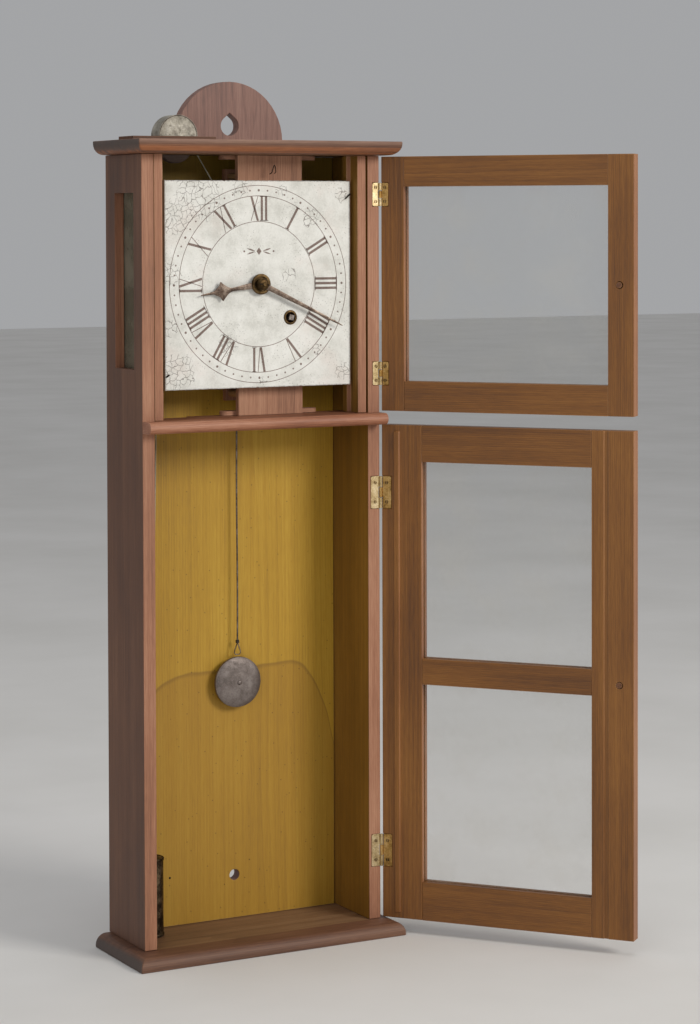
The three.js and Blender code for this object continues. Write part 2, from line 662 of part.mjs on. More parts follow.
/** Verge arbor with the two pallets in front and the crutch behind the back plate. */
function buildVerge() {
  const { x, z } = at.verge;
  const [crutchY0, crutchY1] = DEPTH.crutch;
  const arbor = rodY(ARBOR.thin, PIVOT_Y0, crutchY1, x, z, 16);
  const toWheel = bearing(at.verge, at.escape);
  const reach = distance(at.verge, at.escape);
  const local = (along, across) => [
    x + along * Math.cos(toWheel) - across * Math.sin(toWheel),
    z + along * Math.sin(toWheel) + across * Math.cos(toWheel),
  ];
  const clearR = ESCAPE_R + PALLETS.clear;
  const tipAlong = reach - clearR * Math.cos(PALLETS.span);
  const tipAcross = clearR * Math.sin(PALLETS.span);
  const anchor = outline([
    local(-4, -4), local(3, -tipAcross - 3), local(tipAlong + 1, -tipAcross - 2.5),
    local(tipAlong + 2, -tipAcross + 0.4), local(6.5, -tipAcross + 1.5), local(5, 0),
    local(6.5, tipAcross - 1.5), local(tipAlong + 2, tipAcross - 0.4),
    local(tipAlong + 1, tipAcross + 2.5), local(3, tipAcross + 3), local(-4, 4),
  ]);
  const pallets = plateY(anchor, ...DEPTH.pallets);
  const { half, drop, yokeHalf, yokeH, prong } = CRUTCH;
  const crutch = block(x - half, x + half, crutchY0, crutchY1, z - drop, z);
  const yoke = block(
    x - yokeHalf, x + yokeHalf, crutchY0, crutchY1, z - drop - yokeH + 1, z - drop + 1);
  const prongs = [-1, 1].map((side) => block(
    x + side * prong.x - prong.half, x + side * prong.x + prong.half, ...DEPTH.crutchProngs,
    z - drop - yokeH + 1, z - drop + 1));
  piece(works, 'verge', combine([arbor, pallets, crutch, yoke, ...prongs]), STEEL);
}

/** Motion work: minute wheel with its pinion, hour wheel with its pipe, collar and hour hand. */
function buildMotionWork() {
  const wheelShape = gearShape(at.minute, MINUTE_TEETH, cannonMesh.rA, cannonMesh.phaseA);
  addOpenings(wheelShape, at.minute, MOTION_BORE_R);
  const pinionShape = gearShape(
    at.minute, MINUTE_LEAVES, hourMesh.rB, hourMesh.phaseB, LEAF_TIP);
  addOpenings(pinionShape, at.minute, MOTION_BORE_R);
  const parts = [
    plateY(wheelShape, ...DEPTH.minuteWheel), plateY(pinionShape, ...DEPTH.minutePinion),
  ];
  piece(works, 'minute_wheel', combine(parts), BRASS);

  const hourShape = gearShape(at.center, HOUR_TEETH, hourMesh.rA, hourMesh.phaseA);
  addOpenings(hourShape, at.center, PIPE_R.middle);
  const hourWheel = plateY(hourShape, ...DEPTH.hourWheel);
  const pipe = turnedY(
    ringProfile(PIPE_R.bore, PIPE_R.outer, ...DEPTH.hourPipe), at.center.x, at.center.z, 16);
  const hand = handGeometry(hourHandShape(), ...DEPTH.hourHand, HOUR_HAND.angle);
  const collar = turnedY(
    ringProfile(HOUR_HAND.hub - 3, HOUR_HAND.hub, ...DEPTH.hourCollar),
    at.center.x, at.center.z, 24);
  piece(works, 'hour_hand', combine([hourWheel, pipe, hand, collar]), HAND_BLACK);
}

// Hands: angles are clockwise from the top of the dial.
const HOUR_HAND = { angle: 261.5, length: 63.5, hub: 9.8, rootHalf: 2.8 };
const MINUTE_HAND = { angle: 115, length: 95, hub: 5.8, rootHalf: 2.4 };

/** Hour hand pointing up from the dial centre: tapered stem, lozenge and pointed tip. */
function hourHandShape() {
  const { length, hub, rootHalf } = HOUR_HAND;
  const shape = new THREE.Shape();
  shape.moveTo(rootHalf, Math.sqrt(hub * hub - rootHalf * rootHalf));
  shape.lineTo(1.5, 30);
  shape.quadraticCurveTo(5, 34, 8.6, 40);
  shape.quadraticCurveTo(3.4, 46, 1.4, 50);
  shape.lineTo(0.4, length);
  shape.lineTo(-0.4, length);
  shape.lineTo(-1.4, 50);
  shape.quadraticCurveTo(-3.4, 46, -8.6, 40);
  shape.quadraticCurveTo(-5, 34, -1.5, 30);
  shape.lineTo(-rootHalf, Math.sqrt(hub * hub - rootHalf * rootHalf));
  const opening = Math.asin(rootHalf / hub);
  shape.absarc(0, 0, hub, 90 * DEG + opening, 450 * DEG - opening, false);
  return addOpenings(shape, { x: 0, z: 0 }, PIPE_R.middle);
}

/** Minute hand pointing up: a long taper from its hub to the tip. */
function minuteHandShape() {
  const { length, hub, rootHalf } = MINUTE_HAND;
  const shape = new THREE.Shape();
  shape.moveTo(rootHalf, Math.sqrt(hub * hub - rootHalf * rootHalf));
  shape.lineTo(0.5, length);
  shape.lineTo(-0.5, length);
  shape.lineTo(-rootHalf, Math.sqrt(hub * hub - rootHalf * rootHalf));
  const opening = Math.asin(rootHalf / hub);
  shape.absarc(0, 0, hub, 90 * DEG + opening, 450 * DEG - opening, false);
  return addOpenings(shape, { x: 0, z: 0 }, ARBOR.center + GAP);
}

/** A hand turned to its angle and carried to the dial centre. */
function handGeometry(shape, y0, y1, angle) {
  const geometry = plateY(shape, y0, y1, 8);
  return geometry.rotateY(angle * DEG).translate(at.center.x, 0, at.center.z);
}

// ---------------------------------------------------------------- pendulum, cord and weight

function buildPendulum() {
  const { x, z } = at.verge;
  const y = PENDULUM_Y;
  const stud = turnedY(
    [[0, 60.2], [2.6, 60.2], [2.6, 60.6], [1.2, 60.6], [1.2, 67.5], [4, 67.5],
      [4, BACK_Y - GAP], [0, BACK_Y - GAP]],
    x, z, 20);
  piece(works, 'suspension_stud', stud, BRASS);

  const eye = turnedY(ringProfile(1.7, 3.4, y - 0.9, y + 0.9), x, z, 20);
  const rod = rodZ(ROD_R, ROD_BOTTOM_Z, z - 2.9, x, y, 14);
  const hookShape = outline([
    [x - 4, BOB_Z + BOB_R + 1.2], [x + 4, BOB_Z + BOB_R + 1.2], [x, ROD_BOTTOM_Z + 8],
  ]);
  const opening = outline([
    [x - 2.4, BOB_Z + BOB_R + 2.1], [x + 2.4, BOB_Z + BOB_R + 2.1], [x, ROD_BOTTOM_Z + 4.5],
  ]);
  hookShape.holes.push(opening);
  const hook = plateY(hookShape, y - 0.6, y + 0.6);
  piece(works, 'pendulum_rod', combine([eye, rod, hook]), STEEL);

  const half = BOB_T / 2;
  const profile = [[0, y - half - 0.8], [2.2, y - half - 0.8], [2.6, y - half]];
  for (let k = 1; k <= 6; k += 1) {
    const r = (BOB_R * k) / 6;
    profile.push([r, y - 1.2 - (half - 1.2) * Math.sqrt(Math.max(0, 1 - (k / 6) ** 2))]);
  }
  profile.push([BOB_R, y + 1.2], [BOB_R * 0.8, y + 3.4], [0, y + half]);
  piece(works, 'pendulum_bob', turnedY(profile, x, BOB_Z, 28), PEWTER);
}

/** Where the cord's straight run leaves the drum and meets the pulley. */
const runAngle = Math.atan2(PULLEY.z - at.great.z, PULLEY.x - at.great.x) - 90 * DEG;
const runOffset = new THREE.Vector2(Math.cos(runAngle), Math.sin(runAngle));
runOffset.multiplyScalar(CORD_RUN_R);

const ARC_STEPS = 12;

/** A point on the cord's centre line round the pulley. */
const pulleyPoint = (angle) => new THREE.Vector3(
  PULLEY.x + CORD_RUN_R * Math.cos(angle), CORD_Y, PULLEY.z + CORD_RUN_R * Math.sin(angle));

/** Over the pulley in equal steps, then one straight run to the drum. */
class DrumCordRoute extends THREE.Curve {
  getPoint(t) {
    const arcShare = ARC_STEPS / (ARC_STEPS + 1);
    const along = Math.min(t / arcShare, 1);
    const onPulley = pulleyPoint(Math.PI + along * (runAngle - Math.PI));
    if (t <= arcShare) return onPulley;
    const drumEnd = new THREE.Vector3(
      at.great.x + runOffset.x, CORD_Y, at.great.z + runOffset.y);
    return onPulley.lerp(drumEnd, (t - arcShare) / (1 - arcShare));
  }

  getPointAt(t) {
    return this.getPoint(t);
  }

  getTangentAt(t) {
    return this.getTangent(t);
  }
}

function buildCordAndWeight() {
  const groove = CORD_RUN_R - 1.1;
  const halfT = PULLEY.t / 2;
  const { axleR, axleHalf } = PULLEY;
  const profile = [
    [0, CORD_Y - axleHalf], [axleR, CORD_Y - axleHalf], [axleR, CORD_Y - halfT],
    [PULLEY.r - 1, CORD_Y - halfT], [PULLEY.r, CORD_Y - halfT + 0.8],
    [groove, CORD_Y - 0.8], [groove, CORD_Y + 0.8], [PULLEY.r, CORD_Y + halfT - 0.8],
    [PULLEY.r - 1, CORD_Y + halfT], [axleR, CORD_Y + halfT], [axleR, CORD_Y + axleHalf],
    [0, CORD_Y + axleHalf],
  ];
  piece(works, 'pulley', turnedY(profile, PULLEY.x, PULLEY.z, 24), WORKS_WOOD);

  piece(works, 'drum_cord', tube(new DrumCordRoute(), CORD_R, ARC_STEPS + 1), CORD_FIBRE);

  const { x, y, z, r, h, loop } = WEIGHT;
  const can = turnedZ(
    [[0, z], [r, z], [r, z + 2.6], [r - 0.5, z + 3], [r - 0.5, z + h - 3], [r, z + h - 2.6],
      [r, z + h], [2, z + h + 1.5], [1.2, z + h + 3.2], [0, z + h + 3.2]],
    x, y, 24);
  const ring = new THREE.TorusGeometry(loop, 0.8, 6, 14).rotateX(90 * DEG);
  ring.translate(x, y, z + h + 2.6 + loop);
  piece(works, 'weight', combine([can, ring]), TIN);

  const cordFoot = new THREE.Vector3(x, y, z + h + 2.6 + 2 * loop + 0.8 + GAP);
  const cordTop = pulleyPoint(Math.PI).add(new THREE.Vector3(0, 0, -GAP));
  const drop = new THREE.LineCurve3(cordFoot, cordTop);
  piece(works, 'weight_cord', tube(drop, CORD_R, 2), CORD_FIBRE);
}

// ---------------------------------------------------------------- doors and hinges

/** A group that turns about the hinge line, holding a door drawn closed. */
function doorGroup() {
  const group = new THREE.Group();
  group.position.set(HINGE_AXIS_X, HINGE_AXIS_Y, 0);
  group.rotation.z = DOOR_OPEN_DEG * DEG;
  clock.add(group);
  return group;
}

const FACE_Y0 = DOOR_FACE - DOOR_T;
const MID_Y = DOOR_FACE - DOOR_T / 2;

/** A block in a door, placed by its distances from the hinge axis. */
const doorBlock = (near, far, y0, y1, z0, z1) => block(-far, -near, y0, y1, z0, z1);

/** A rail with a tenon at each end, and the mortise cutters that match it. */
function tenonedRail(near, far, z0, z1) {
  const t = TENON.thickness / 2;
  const body = doorBlock(near + GAP, far - GAP, FACE_Y0, DOOR_FACE, z0, z1);
  const inset = Math.min(4, (z1 - z0) / 5);
  const tongue = doorBlock(
    near - TENON.length, far + TENON.length, MID_Y - t, MID_Y + t, z0 + inset, z1 - inset);
  const mortise = doorBlock(
    near - TENON.length - GAP, far + TENON.length + GAP, MID_Y - t - GAP, MID_Y + t + GAP,
    z0 + inset - GAP, z1 - inset + GAP);
  return { body, tongue, mortise };
}

/** A pane and the groove cutter that lets it into the frame around a light. */
function pane(near, far, z0, z1) {
  const size = (lap, thickness) => doorBlock(
    near - lap, far + lap, MID_Y - thickness / 2, MID_Y + thickness / 2, z0 - lap, z1 + lap);
  return { glass: size(PANE_LAP, PANE_T), groove: size(PANE_LAP + GAP, PANE_T + 2 * GAP) };
}

/** Recesses for the door leaves of one door, in its inner face. */
function doorLeafRecesses(door) {
  return Object.values(HINGES).filter((hinge) => hinge.door === door).map(
    ({ z, height, width }) => doorBlock(
      -1, width + GAP, DOOR_FACE - HINGE.leaf - GAP, DOOR_FACE + 1,
      z - height / 2 - GAP, z + height / 2 + GAP));
}

/** A round knob outside a door, with its shank through the free stile. */
function knob(near, z) {
  const { r, shank, reach } = KNOB;
  const front = FACE_Y0 - reach;
  return turnedY(
    [[0, front], [r * 0.6, front + 0.8], [r * 0.95, front + 3.4], [r, front + 6],
      [r * 0.8, front + 9], [r * 0.55, front + 11.5], [r * 0.62, FACE_Y0 - GAP],
      [shank, FACE_Y0 - GAP], [shank, DOOR_FACE + 0.4], [0, DOOR_FACE + 0.4]],
    -near, z, 16);
}

/** Bead worked on the lower door's hinge stile, just inside the case side when closed. */
function dustBead() {
  return doorBlock(
    BEAD.near, BEAD.near + BEAD.width, DOOR_FACE - 1, DOOR_FACE + BEAD.proud,
    LOWER_DOOR.z0 + 6, LOWER_DOOR.z1 - 6);
}

/** A framed and glazed door. middle is the optional rail that splits the light in two. */
function buildDoor(name, size, middle) {
  const group = doorGroup();
  const lightNear = DOOR_EDGE + size.hinge;
  const lightFar = DOOR_EDGE + DOOR_W - size.free;
  const farEdge = DOOR_EDGE + DOOR_W;
  const rails = {
    bottom_rail: [size.z0, size.z0 + size.bottom],
    top_rail: [size.z1 - size.top, size.z1],
  };
  if (middle) rails.middle_rail = [middle.z0, middle.z1];
  const lights = middle
    ? { lower_pane: [rails.bottom_rail[1], middle.z0], upper_pane: [middle.z1, rails.top_rail[0]] }
    : { pane: [rails.bottom_rail[1], rails.top_rail[0]] };

  const panes = Object.entries(lights).map(
    ([key, [z0, z1]]) => [key, pane(lightNear, lightFar, z0, z1)]);
  const grooves = panes.map(([, { groove }]) => groove);
  const mortises = [];
  for (const [key, [z0, z1]] of Object.entries(rails)) {
    const { body, tongue, mortise } = tenonedRail(lightNear, lightFar, z0, z1);
    piece(group, `${name}_door_${key}`, combine([body, tongue], grooves), DOOR_WOOD);
    mortises.push(mortise);
  }
  const hingeStile = doorBlock(DOOR_EDGE, lightNear, FACE_Y0, DOOR_FACE, size.z0, size.z1);
  const freeStile = doorBlock(lightFar, farEdge, FACE_Y0, DOOR_FACE, size.z0, size.z1);
  const knobBore = rodY(
    KNOB.shank + GAP, FACE_Y0 - 1, DOOR_FACE + 1, -size.knobAt, size.knobZ, 20);
  const freeCuts = [...grooves, ...mortises, knobBore];
  if (middle) {
    freeCuts.push(doorBlock(
      LIP_GROOVE.near, LIP_GROOVE.near + LIP_GROOVE.width, DOOR_FACE - LIP_GROOVE.depth,
      DOOR_FACE + 1, size.z0 - 1, size.z1 + 1));
  }
  const hingeSide = middle ? [hingeStile, dustBead()] : [hingeStile];
  piece(group, `${name}_door_hinge_stile`,
    combine(hingeSide, [...grooves, ...mortises, ...doorLeafRecesses(name)]), DOOR_WOOD);
  piece(group, `${name}_door_free_stile`, combine([freeStile], freeCuts), DOOR_WOOD);
  for (const [key, { glass }] of panes) {
    piece(group, `${name}_door_${key}`, glass, CLEAR_GLASS);
  }
  piece(group, `${name}_door_knob`, knob(size.knobAt, size.knobZ), DOOR_WOOD);
  return group;
}

/** A butt hinge: case leaf with the pin and outer knuckles, door leaf with the middle one. */
function buildHinge(name, { z, height, width }, group) {
  const z0 = z - height / 2;
  const z1 = z + height / 2;
  const third = height / 3;
  const caseLeaf = block(
    HINGE_AXIS_X - width, HINGE_AXIS_X, GAP / 3, HINGE.leaf, z0, z1);
  const middleGap = rodZ(HINGE.barrel + GAP, z0 + third - GAP, z1 - third + GAP,
    HINGE_AXIS_X, HINGE_AXIS_Y, 20);
  const knuckles = rodZ(HINGE.barrel, z0, z1, HINGE_AXIS_X, HINGE_AXIS_Y, 20);
  const leafWithKnuckles = combine([caseLeaf, knuckles], [middleGap]);
  const pin = rodZ(HINGE.pin, z0 - 1, z1 + 1, HINGE_AXIS_X, HINGE_AXIS_Y, 12);
  piece(clock, `${name}_case_leaf`, combine([leafWithKnuckles, pin]), BRASS);

  const doorLeaf = block(-width, 0, DOOR_FACE - HINGE.leaf, DOOR_FACE - GAP / 3, z0, z1);
  const clearOuter = [
    rodZ(HINGE.barrel + GAP, z0 - 1, z0 + third + GAP / 2, 0, 0, 20),
    rodZ(HINGE.barrel + GAP, z1 - third - GAP / 2, z1 + 1, 0, 0, 20),
  ];
  const middle = rodZ(HINGE.barrel, z0 + third + GAP, z1 - third - GAP, 0, 0, 20);
  const bore = rodZ(HINGE.pin + GAP, z0, z1, 0, 0, 12);
  piece(group, `${name}_door_leaf`, combine([doorLeaf, middle], [...clearOuter, bore]), BRASS);
}

// ---------------------------------------------------------------- build

buildBoards();
buildBack();
buildSides();
buildRail();
buildDialBattens();
buildPulleyParts();
buildPlates();
buildDial();
buildGreatWheel();
buildDrum();
buildCenterArbor();
buildThirdWheel();
buildEscapeWheel();
buildVerge();
buildMotionWork();
piece(works, 'minute_hand',
  handGeometry(minuteHandShape(), ...DEPTH.minuteHand, MINUTE_HAND.angle), HAND_BLACK);
buildPendulum();
buildCordAndWeight();

const upperDoor = buildDoor('upper', UPPER_DOOR, null);
const lowerDoor = buildDoor('lower', LOWER_DOOR, LOWER_MIDDLE);
for (const [name, hinge] of Object.entries(HINGES)) {
  buildHinge(name, hinge, hinge.door === 'upper' ? upperDoor : lowerDoor);
}

clock.position.set(0, -CASE_D, -HANG_Z);

export default clock;
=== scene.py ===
import json
import math

import bmesh
import bpy
from mathutils import Matrix, Vector, noise


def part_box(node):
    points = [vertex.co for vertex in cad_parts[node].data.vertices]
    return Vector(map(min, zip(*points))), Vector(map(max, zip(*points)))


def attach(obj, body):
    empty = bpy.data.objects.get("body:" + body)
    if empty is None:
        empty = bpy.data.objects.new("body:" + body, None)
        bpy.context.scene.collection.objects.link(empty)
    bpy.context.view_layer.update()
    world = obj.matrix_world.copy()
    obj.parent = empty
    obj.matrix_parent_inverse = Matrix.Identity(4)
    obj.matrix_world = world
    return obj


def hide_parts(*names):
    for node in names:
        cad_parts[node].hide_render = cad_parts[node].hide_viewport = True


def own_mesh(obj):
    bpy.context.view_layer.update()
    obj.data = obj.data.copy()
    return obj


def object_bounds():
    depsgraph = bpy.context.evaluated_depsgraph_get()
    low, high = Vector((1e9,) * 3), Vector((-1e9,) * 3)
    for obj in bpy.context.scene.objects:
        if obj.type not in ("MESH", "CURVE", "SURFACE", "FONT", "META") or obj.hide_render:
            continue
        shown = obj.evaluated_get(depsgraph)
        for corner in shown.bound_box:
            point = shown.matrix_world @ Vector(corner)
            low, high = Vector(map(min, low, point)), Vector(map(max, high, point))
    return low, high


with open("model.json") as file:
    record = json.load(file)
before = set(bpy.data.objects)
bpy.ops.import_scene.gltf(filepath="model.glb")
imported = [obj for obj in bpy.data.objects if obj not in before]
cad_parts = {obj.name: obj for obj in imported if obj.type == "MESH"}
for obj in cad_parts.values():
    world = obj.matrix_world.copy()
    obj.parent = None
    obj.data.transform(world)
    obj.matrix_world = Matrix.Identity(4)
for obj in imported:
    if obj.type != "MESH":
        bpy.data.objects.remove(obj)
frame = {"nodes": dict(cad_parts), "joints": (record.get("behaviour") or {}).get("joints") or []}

# A wall clock with both doors open. Metres, +Z up, -Y towards the room, origin at the hanging
# hole on the wall plane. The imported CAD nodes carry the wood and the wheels, and the dial,
# hands, hinges, cords, bob, weight and hood are finer pieces built here in their places.

bpy.context.view_layer.update()
cad_low, cad_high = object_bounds()

MM = 0.001

# ---------------------------------------------------------------- places taken from the frame


def centre(node):
    """The middle of a node's box."""
    low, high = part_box(node)
    return (low + high) / 2


dial_low, dial_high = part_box("dial")
DIAL = Vector(((dial_low.x + dial_high.x) / 2, dial_low.y, (dial_low.z + dial_high.z) / 2))
WINDING = centre("winding_collar")
joints = {joint["name"]: joint for joint in frame["joints"]}
base_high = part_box("base_board")[1]
top_low, top_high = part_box("top_board")
side_low, side_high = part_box("left_side")
back_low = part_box("back_board")[0]
DOOR_ANGLE = math.radians(joints["upper_door_hinge"]["range_deg"][0])
DOOR_ALONG = Vector((-math.cos(-DOOR_ANGLE), -math.sin(-DOOR_ANGLE), 0))
DOOR_FACING = Vector((DOOR_ALONG.y, -DOOR_ALONG.x, 0))

# ---------------------------------------------------------------- colours


def srgb(red, green, blue):
    """A display colour, 0 to 255, as linear RGBA."""
    values = []
    for channel in (red, green, blue):
        share = channel / 255
        values.append(share / 12.92 if share <= 0.04045 else ((share + 0.055) / 1.055) ** 2.4)
    return (*values, 1.0)


# ---------------------------------------------------------------- node helpers


class Paint:
    """A material's node tree with short calls for the nodes used here."""

    def __init__(self, name):
        self.material = bpy.data.materials.new(name)
        self.material.use_nodes = True
        self.tree = self.material.node_tree
        self.shader = self.tree.nodes["Principled BSDF"]
        coordinates = self.tree.nodes.new("ShaderNodeTexCoord")
        self.place = coordinates.outputs["Object"]
        self.facing = coordinates.outputs["Normal"]

    def put(self, socket, value):
        """Links or sets one input."""
        if isinstance(value, bpy.types.NodeSocket):
            self.tree.links.new(value, socket)
        else:
            socket.default_value = value

    def set(self, **values):
        """Sets inputs of the main shader, with _ for each space in a name."""
        for name, value in values.items():
            self.put(self.shader.inputs[name.replace("_", " ")], value)

    def math(self, operation, a, b=0.0, c=0.0, clamp=False):
        made = self.tree.nodes.new("ShaderNodeMath")
        made.operation = operation
        made.use_clamp = clamp
        for socket, value in zip(made.inputs, (a, b, c)):
            self.put(socket, value)
        return made.outputs[0]

    def mix(self, share, a, b, blend="MIX"):
        made = self.tree.nodes.new("ShaderNodeMix")
        made.data_type = "RGBA"
        made.blend_type = blend
        for index, value in ((0, share), (6, a), (7, b)):
            self.put(made.inputs[index], value)
        return made.outputs[2]

    def turn(self, vector, rotation=(0, 0, 0), scale=(1, 1, 1), shift=(0, 0, 0)):
        made = self.tree.nodes.new("ShaderNodeMapping")
        self.put(made.inputs["Vector"], vector)
        self.put(made.inputs["Location"], shift)
        self.put(made.inputs["Rotation"], rotation)
        self.put(made.inputs["Scale"], scale)
        return made.outputs[0]

    def noise(self, vector, scale, detail=3.0, roughness=0.55, distortion=0.0):
        made = self.tree.nodes.new("ShaderNodeTexNoise")
        self.put(made.inputs["Vector"], vector)
        self.put(made.inputs["Scale"], scale)
        self.put(made.inputs["Detail"], detail)
        self.put(made.inputs["Roughness"], roughness)
        self.put(made.inputs["Distortion"], distortion)
        return made.outputs["Fac"]

    def cells(self, vector, scale, feature="DISTANCE_TO_EDGE", flat=False):
        made = self.tree.nodes.new("ShaderNodeTexVoronoi")
        made.voronoi_dimensions = "2D" if flat else "3D"
        made.feature = feature
        self.put(made.inputs["Vector"], vector)
        self.put(made.inputs["Scale"], scale)
        return made.outputs["Distance"]

    def ramp(self, share, *stops):
        """A colour ramp through (position, colour) stops."""
        made = self.tree.nodes.new("ShaderNodeValToRGB")
        self.put(made.inputs[0], share)
        marks = made.color_ramp.elements
        while len(marks) < len(stops):
            marks.new(1.0)
        for mark, (position, colour) in zip(marks, stops):
            mark.position = position
            mark.color = colour
        return made.outputs[0]

    def step(self, value, low, high):
        """0 below low, 1 above high, smooth between."""
        made = self.tree.nodes.new("ShaderNodeMapRange")
        made.interpolation_type = "SMOOTHSTEP"
        for index, number in enumerate((value, low, high, 0.0, 1.0)):
            self.put(made.inputs[index], number)
        return made.outputs[0]

    def split(self, vector):
        made = self.tree.nodes.new("ShaderNodeSeparateXYZ")
        self.put(made.inputs[0], vector)
        return made.outputs

    def joined(self, x, y, z):
        made = self.tree.nodes.new("ShaderNodeCombineXYZ")
        for socket, value in zip(made.inputs, (x, y, z)):
            self.put(socket, value)
        return made.outputs[0]

    def both(self, *masks):
        """The product of several masks."""
        result = masks[0]
        for mask in masks[1:]:
            result = self.math("MULTIPLY", result, mask)
        return result

    def rubbed(self, radius):
        """1 on a sharp outer edge, 0 on a flat face."""
        bevel = self.tree.nodes.new("ShaderNodeBevel")
        bevel.samples = 4
        self.put(bevel.inputs["Radius"], radius)
        geometry = self.tree.nodes.new("ShaderNodeNewGeometry")
        dot = self.tree.nodes.new("ShaderNodeVectorMath")
        dot.operation = "DOT_PRODUCT"
        self.put(dot.inputs[0], bevel.outputs[0])
        self.put(dot.inputs[1], geometry.outputs["Normal"])
        return self.step(self.math("SUBTRACT", 1.0, dot.outputs["Value"]), 0.0, 0.2)

    def bump(self, height, distance, strength=1.0):
        made = self.tree.nodes.new("ShaderNodeBump")
        self.put(made.inputs["Height"], height)
        self.put(made.inputs["Distance"], distance)
        self.put(made.inputs["Strength"], strength)
        self.put(self.shader.inputs["Normal"], made.outputs[0])


# ---------------------------------------------------------------- wood


def grain_turn(direction):
    """The rotation that carries a grain direction onto Z."""
    return Vector(direction).rotation_difference(Vector((0, 0, 1))).to_euler()


def grain(paint, direction, pith, spacing):
    """Growth rings, fibres and slow drift of a board whose grain runs along direction.

    pith is how far off the board the tree's heart lies, and spacing the width of a ring.
    """
    along = paint.turn(paint.place, grain_turn(direction))
    drift = paint.noise(paint.turn(along, scale=(5, 5, 1.1)), 1.0, 2.0)
    waver = paint.noise(paint.turn(along, scale=(30, 30, 3.5), shift=(3, 1, 7)), 1.0, 2.0)
    x, y, _ = paint.split(paint.turn(along, shift=pith))
    radius = paint.math("SQRT", paint.math(
        "ADD", paint.math("MULTIPLY", x, x), paint.math("MULTIPLY", y, y)))
    bent = paint.math("MULTIPLY_ADD", drift, 0.02, radius)
    bent = paint.math("MULTIPLY_ADD", waver, 0.002, bent)
    ring = paint.math("FRACT", paint.math("DIVIDE", bent, spacing))
    late = paint.math("POWER", ring, 2.6)
    threads = paint.noise(paint.turn(along, scale=(900, 900, 12)), 1.0, 4.0, 0.65)
    dashes = paint.noise(paint.turn(along, scale=(1100, 1100, 70), shift=(2, 6, 4)), 1.0, 2.0)
    fibres = paint.math("MULTIPLY", paint.math("ADD", threads, dashes), 0.5)
    streaks = paint.noise(paint.turn(along, scale=(170, 170, 2.2), shift=(9, 4, 2)), 1.0, 3.0)
    patches = paint.noise(paint.turn(along, scale=(16, 16, 5), shift=(5, 8, 3)), 1.0, 3.0)
    return late, fibres, streaks, patches


def wood_colour(paint, parts, tones, rings=0.12, contrast=1.0):
    """Colour from dark, middle and light tones, by rings, fibres, streaks and patches."""
    late, fibres, streaks, patches = parts
    level = paint.math("MULTIPLY_ADD", late, -rings, 0.53)
    for part, weight in ((fibres, 0.9), (streaks, 0.55), (patches, 0.75)):
        centred = paint.math("SUBTRACT", part, 0.5)
        level = paint.math("MULTIPLY_ADD", centred, weight * contrast, level)
    dark, middle, light = tones
    return paint.ramp(level, (0.12, srgb(*dark)), (0.5, srgb(*middle)), (0.88, srgb(*light)))


def finish_wood(paint, parts, colour, roughness=0.5, edge_tone=None, edge=1.2 * MM, pores=0.5):
    """Pores, rubbed edges, gloss and relief on a wood colour."""
    late, fibres, streaks, patches = parts
    pits = paint.step(fibres, 0.63, 0.72)
    colour = paint.mix(paint.math("MULTIPLY", pits, pores), colour, srgb(38, 22, 14))
    if edge_tone:
        worn = paint.both(paint.rubbed(edge), paint.step(patches, 0.3, 0.62))
        colour = paint.mix(paint.math("MULTIPLY", worn, 0.75), colour, srgb(*edge_tone))
    gloss = paint.math("MULTIPLY_ADD", fibres, 0.25, roughness - 0.12)
    gloss = paint.math("MULTIPLY_ADD", patches, 0.15, gloss)
    paint.set(Base_Color=colour, Roughness=gloss)
    relief = paint.math("MULTIPLY_ADD", late, -0.12, fibres)
    relief = paint.math("MULTIPLY_ADD", streaks, 0.8, relief)
    paint.bump(relief, 0.35 * MM, 0.55)
    return paint.material


BROWN = ((66, 41, 29), (102, 67, 47), (130, 92, 68))
# Painted light: a lighter copy of the case wood for faces turned to the room, where the light falls.
LIT_FRONT_TONES = ((112, 72, 50), (154, 104, 76), (186, 138, 108))
YELLOW = ((136, 100, 22), (178, 136, 32), (202, 164, 58))
# Painted shade: a darker gold copy of the yellow stain, for inner faces in the case's shade.
SHADED_GOLD = ((88, 60, 16), (128, 90, 26), (160, 118, 44))
FLOOR_TONE = ((74, 52, 36), (120, 88, 60), (150, 118, 86))
DOOR = ((84, 48, 14), (126, 78, 24), (156, 104, 42))
WORKS = ((110, 72, 52), (170, 122, 94), (198, 154, 124))
PALE_WORKS = ((120, 88, 56), (176, 138, 94), (204, 170, 126))
RAIL = ((92, 50, 34), (150, 96, 68), (188, 136, 108))


def inside_case(paint):
    """1 on the faces that look into the case, which were painted with a yellow stain."""
    x, y, z = paint.split(paint.place)
    inner = side_high.x - 0.4 * MM
    return paint.both(
        paint.math("LESS_THAN", paint.math("ABSOLUTE", x), -inner),
        paint.math("GREATER_THAN", y, side_low.y + 0.5 * MM),
        paint.math("LESS_THAN", y, back_low.y + 0.4 * MM),
        paint.math("LESS_THAN", z, top_low.z + 0.4 * MM),
        paint.math("GREATER_THAN", z, base_high.z - 0.4 * MM))


def lit_front_faces(paint):
    """1 on faces that look towards the room; these take a lighter copy of their wood as painted light."""
    return paint.step(paint.math("MULTIPLY", paint.split(paint.facing)[1], -1.0), 0.55, 0.9)


def side_wood():
    paint = Paint("side_wood")
    parts = grain(paint, (0, 0, 1), (0.06, 0.22, 0), 1.9 * MM)
    outer = wood_colour(paint, parts, BROWN)
    gold = wood_colour(paint, parts, SHADED_GOLD, 0.1, 0.8)
    edge = wood_colour(paint, parts, LIT_FRONT_TONES)
    # Painted shade: the side boards' inner faces take the darker gold copy of the yellow stain.
    colour = paint.mix(inside_case(paint), outer, gold)
    # Painted light: faces turned to the room take the lighter copy.
    colour = paint.mix(lit_front_faces(paint), colour, edge)
    return finish_wood(paint, parts, colour, 0.5, (176, 128, 102))


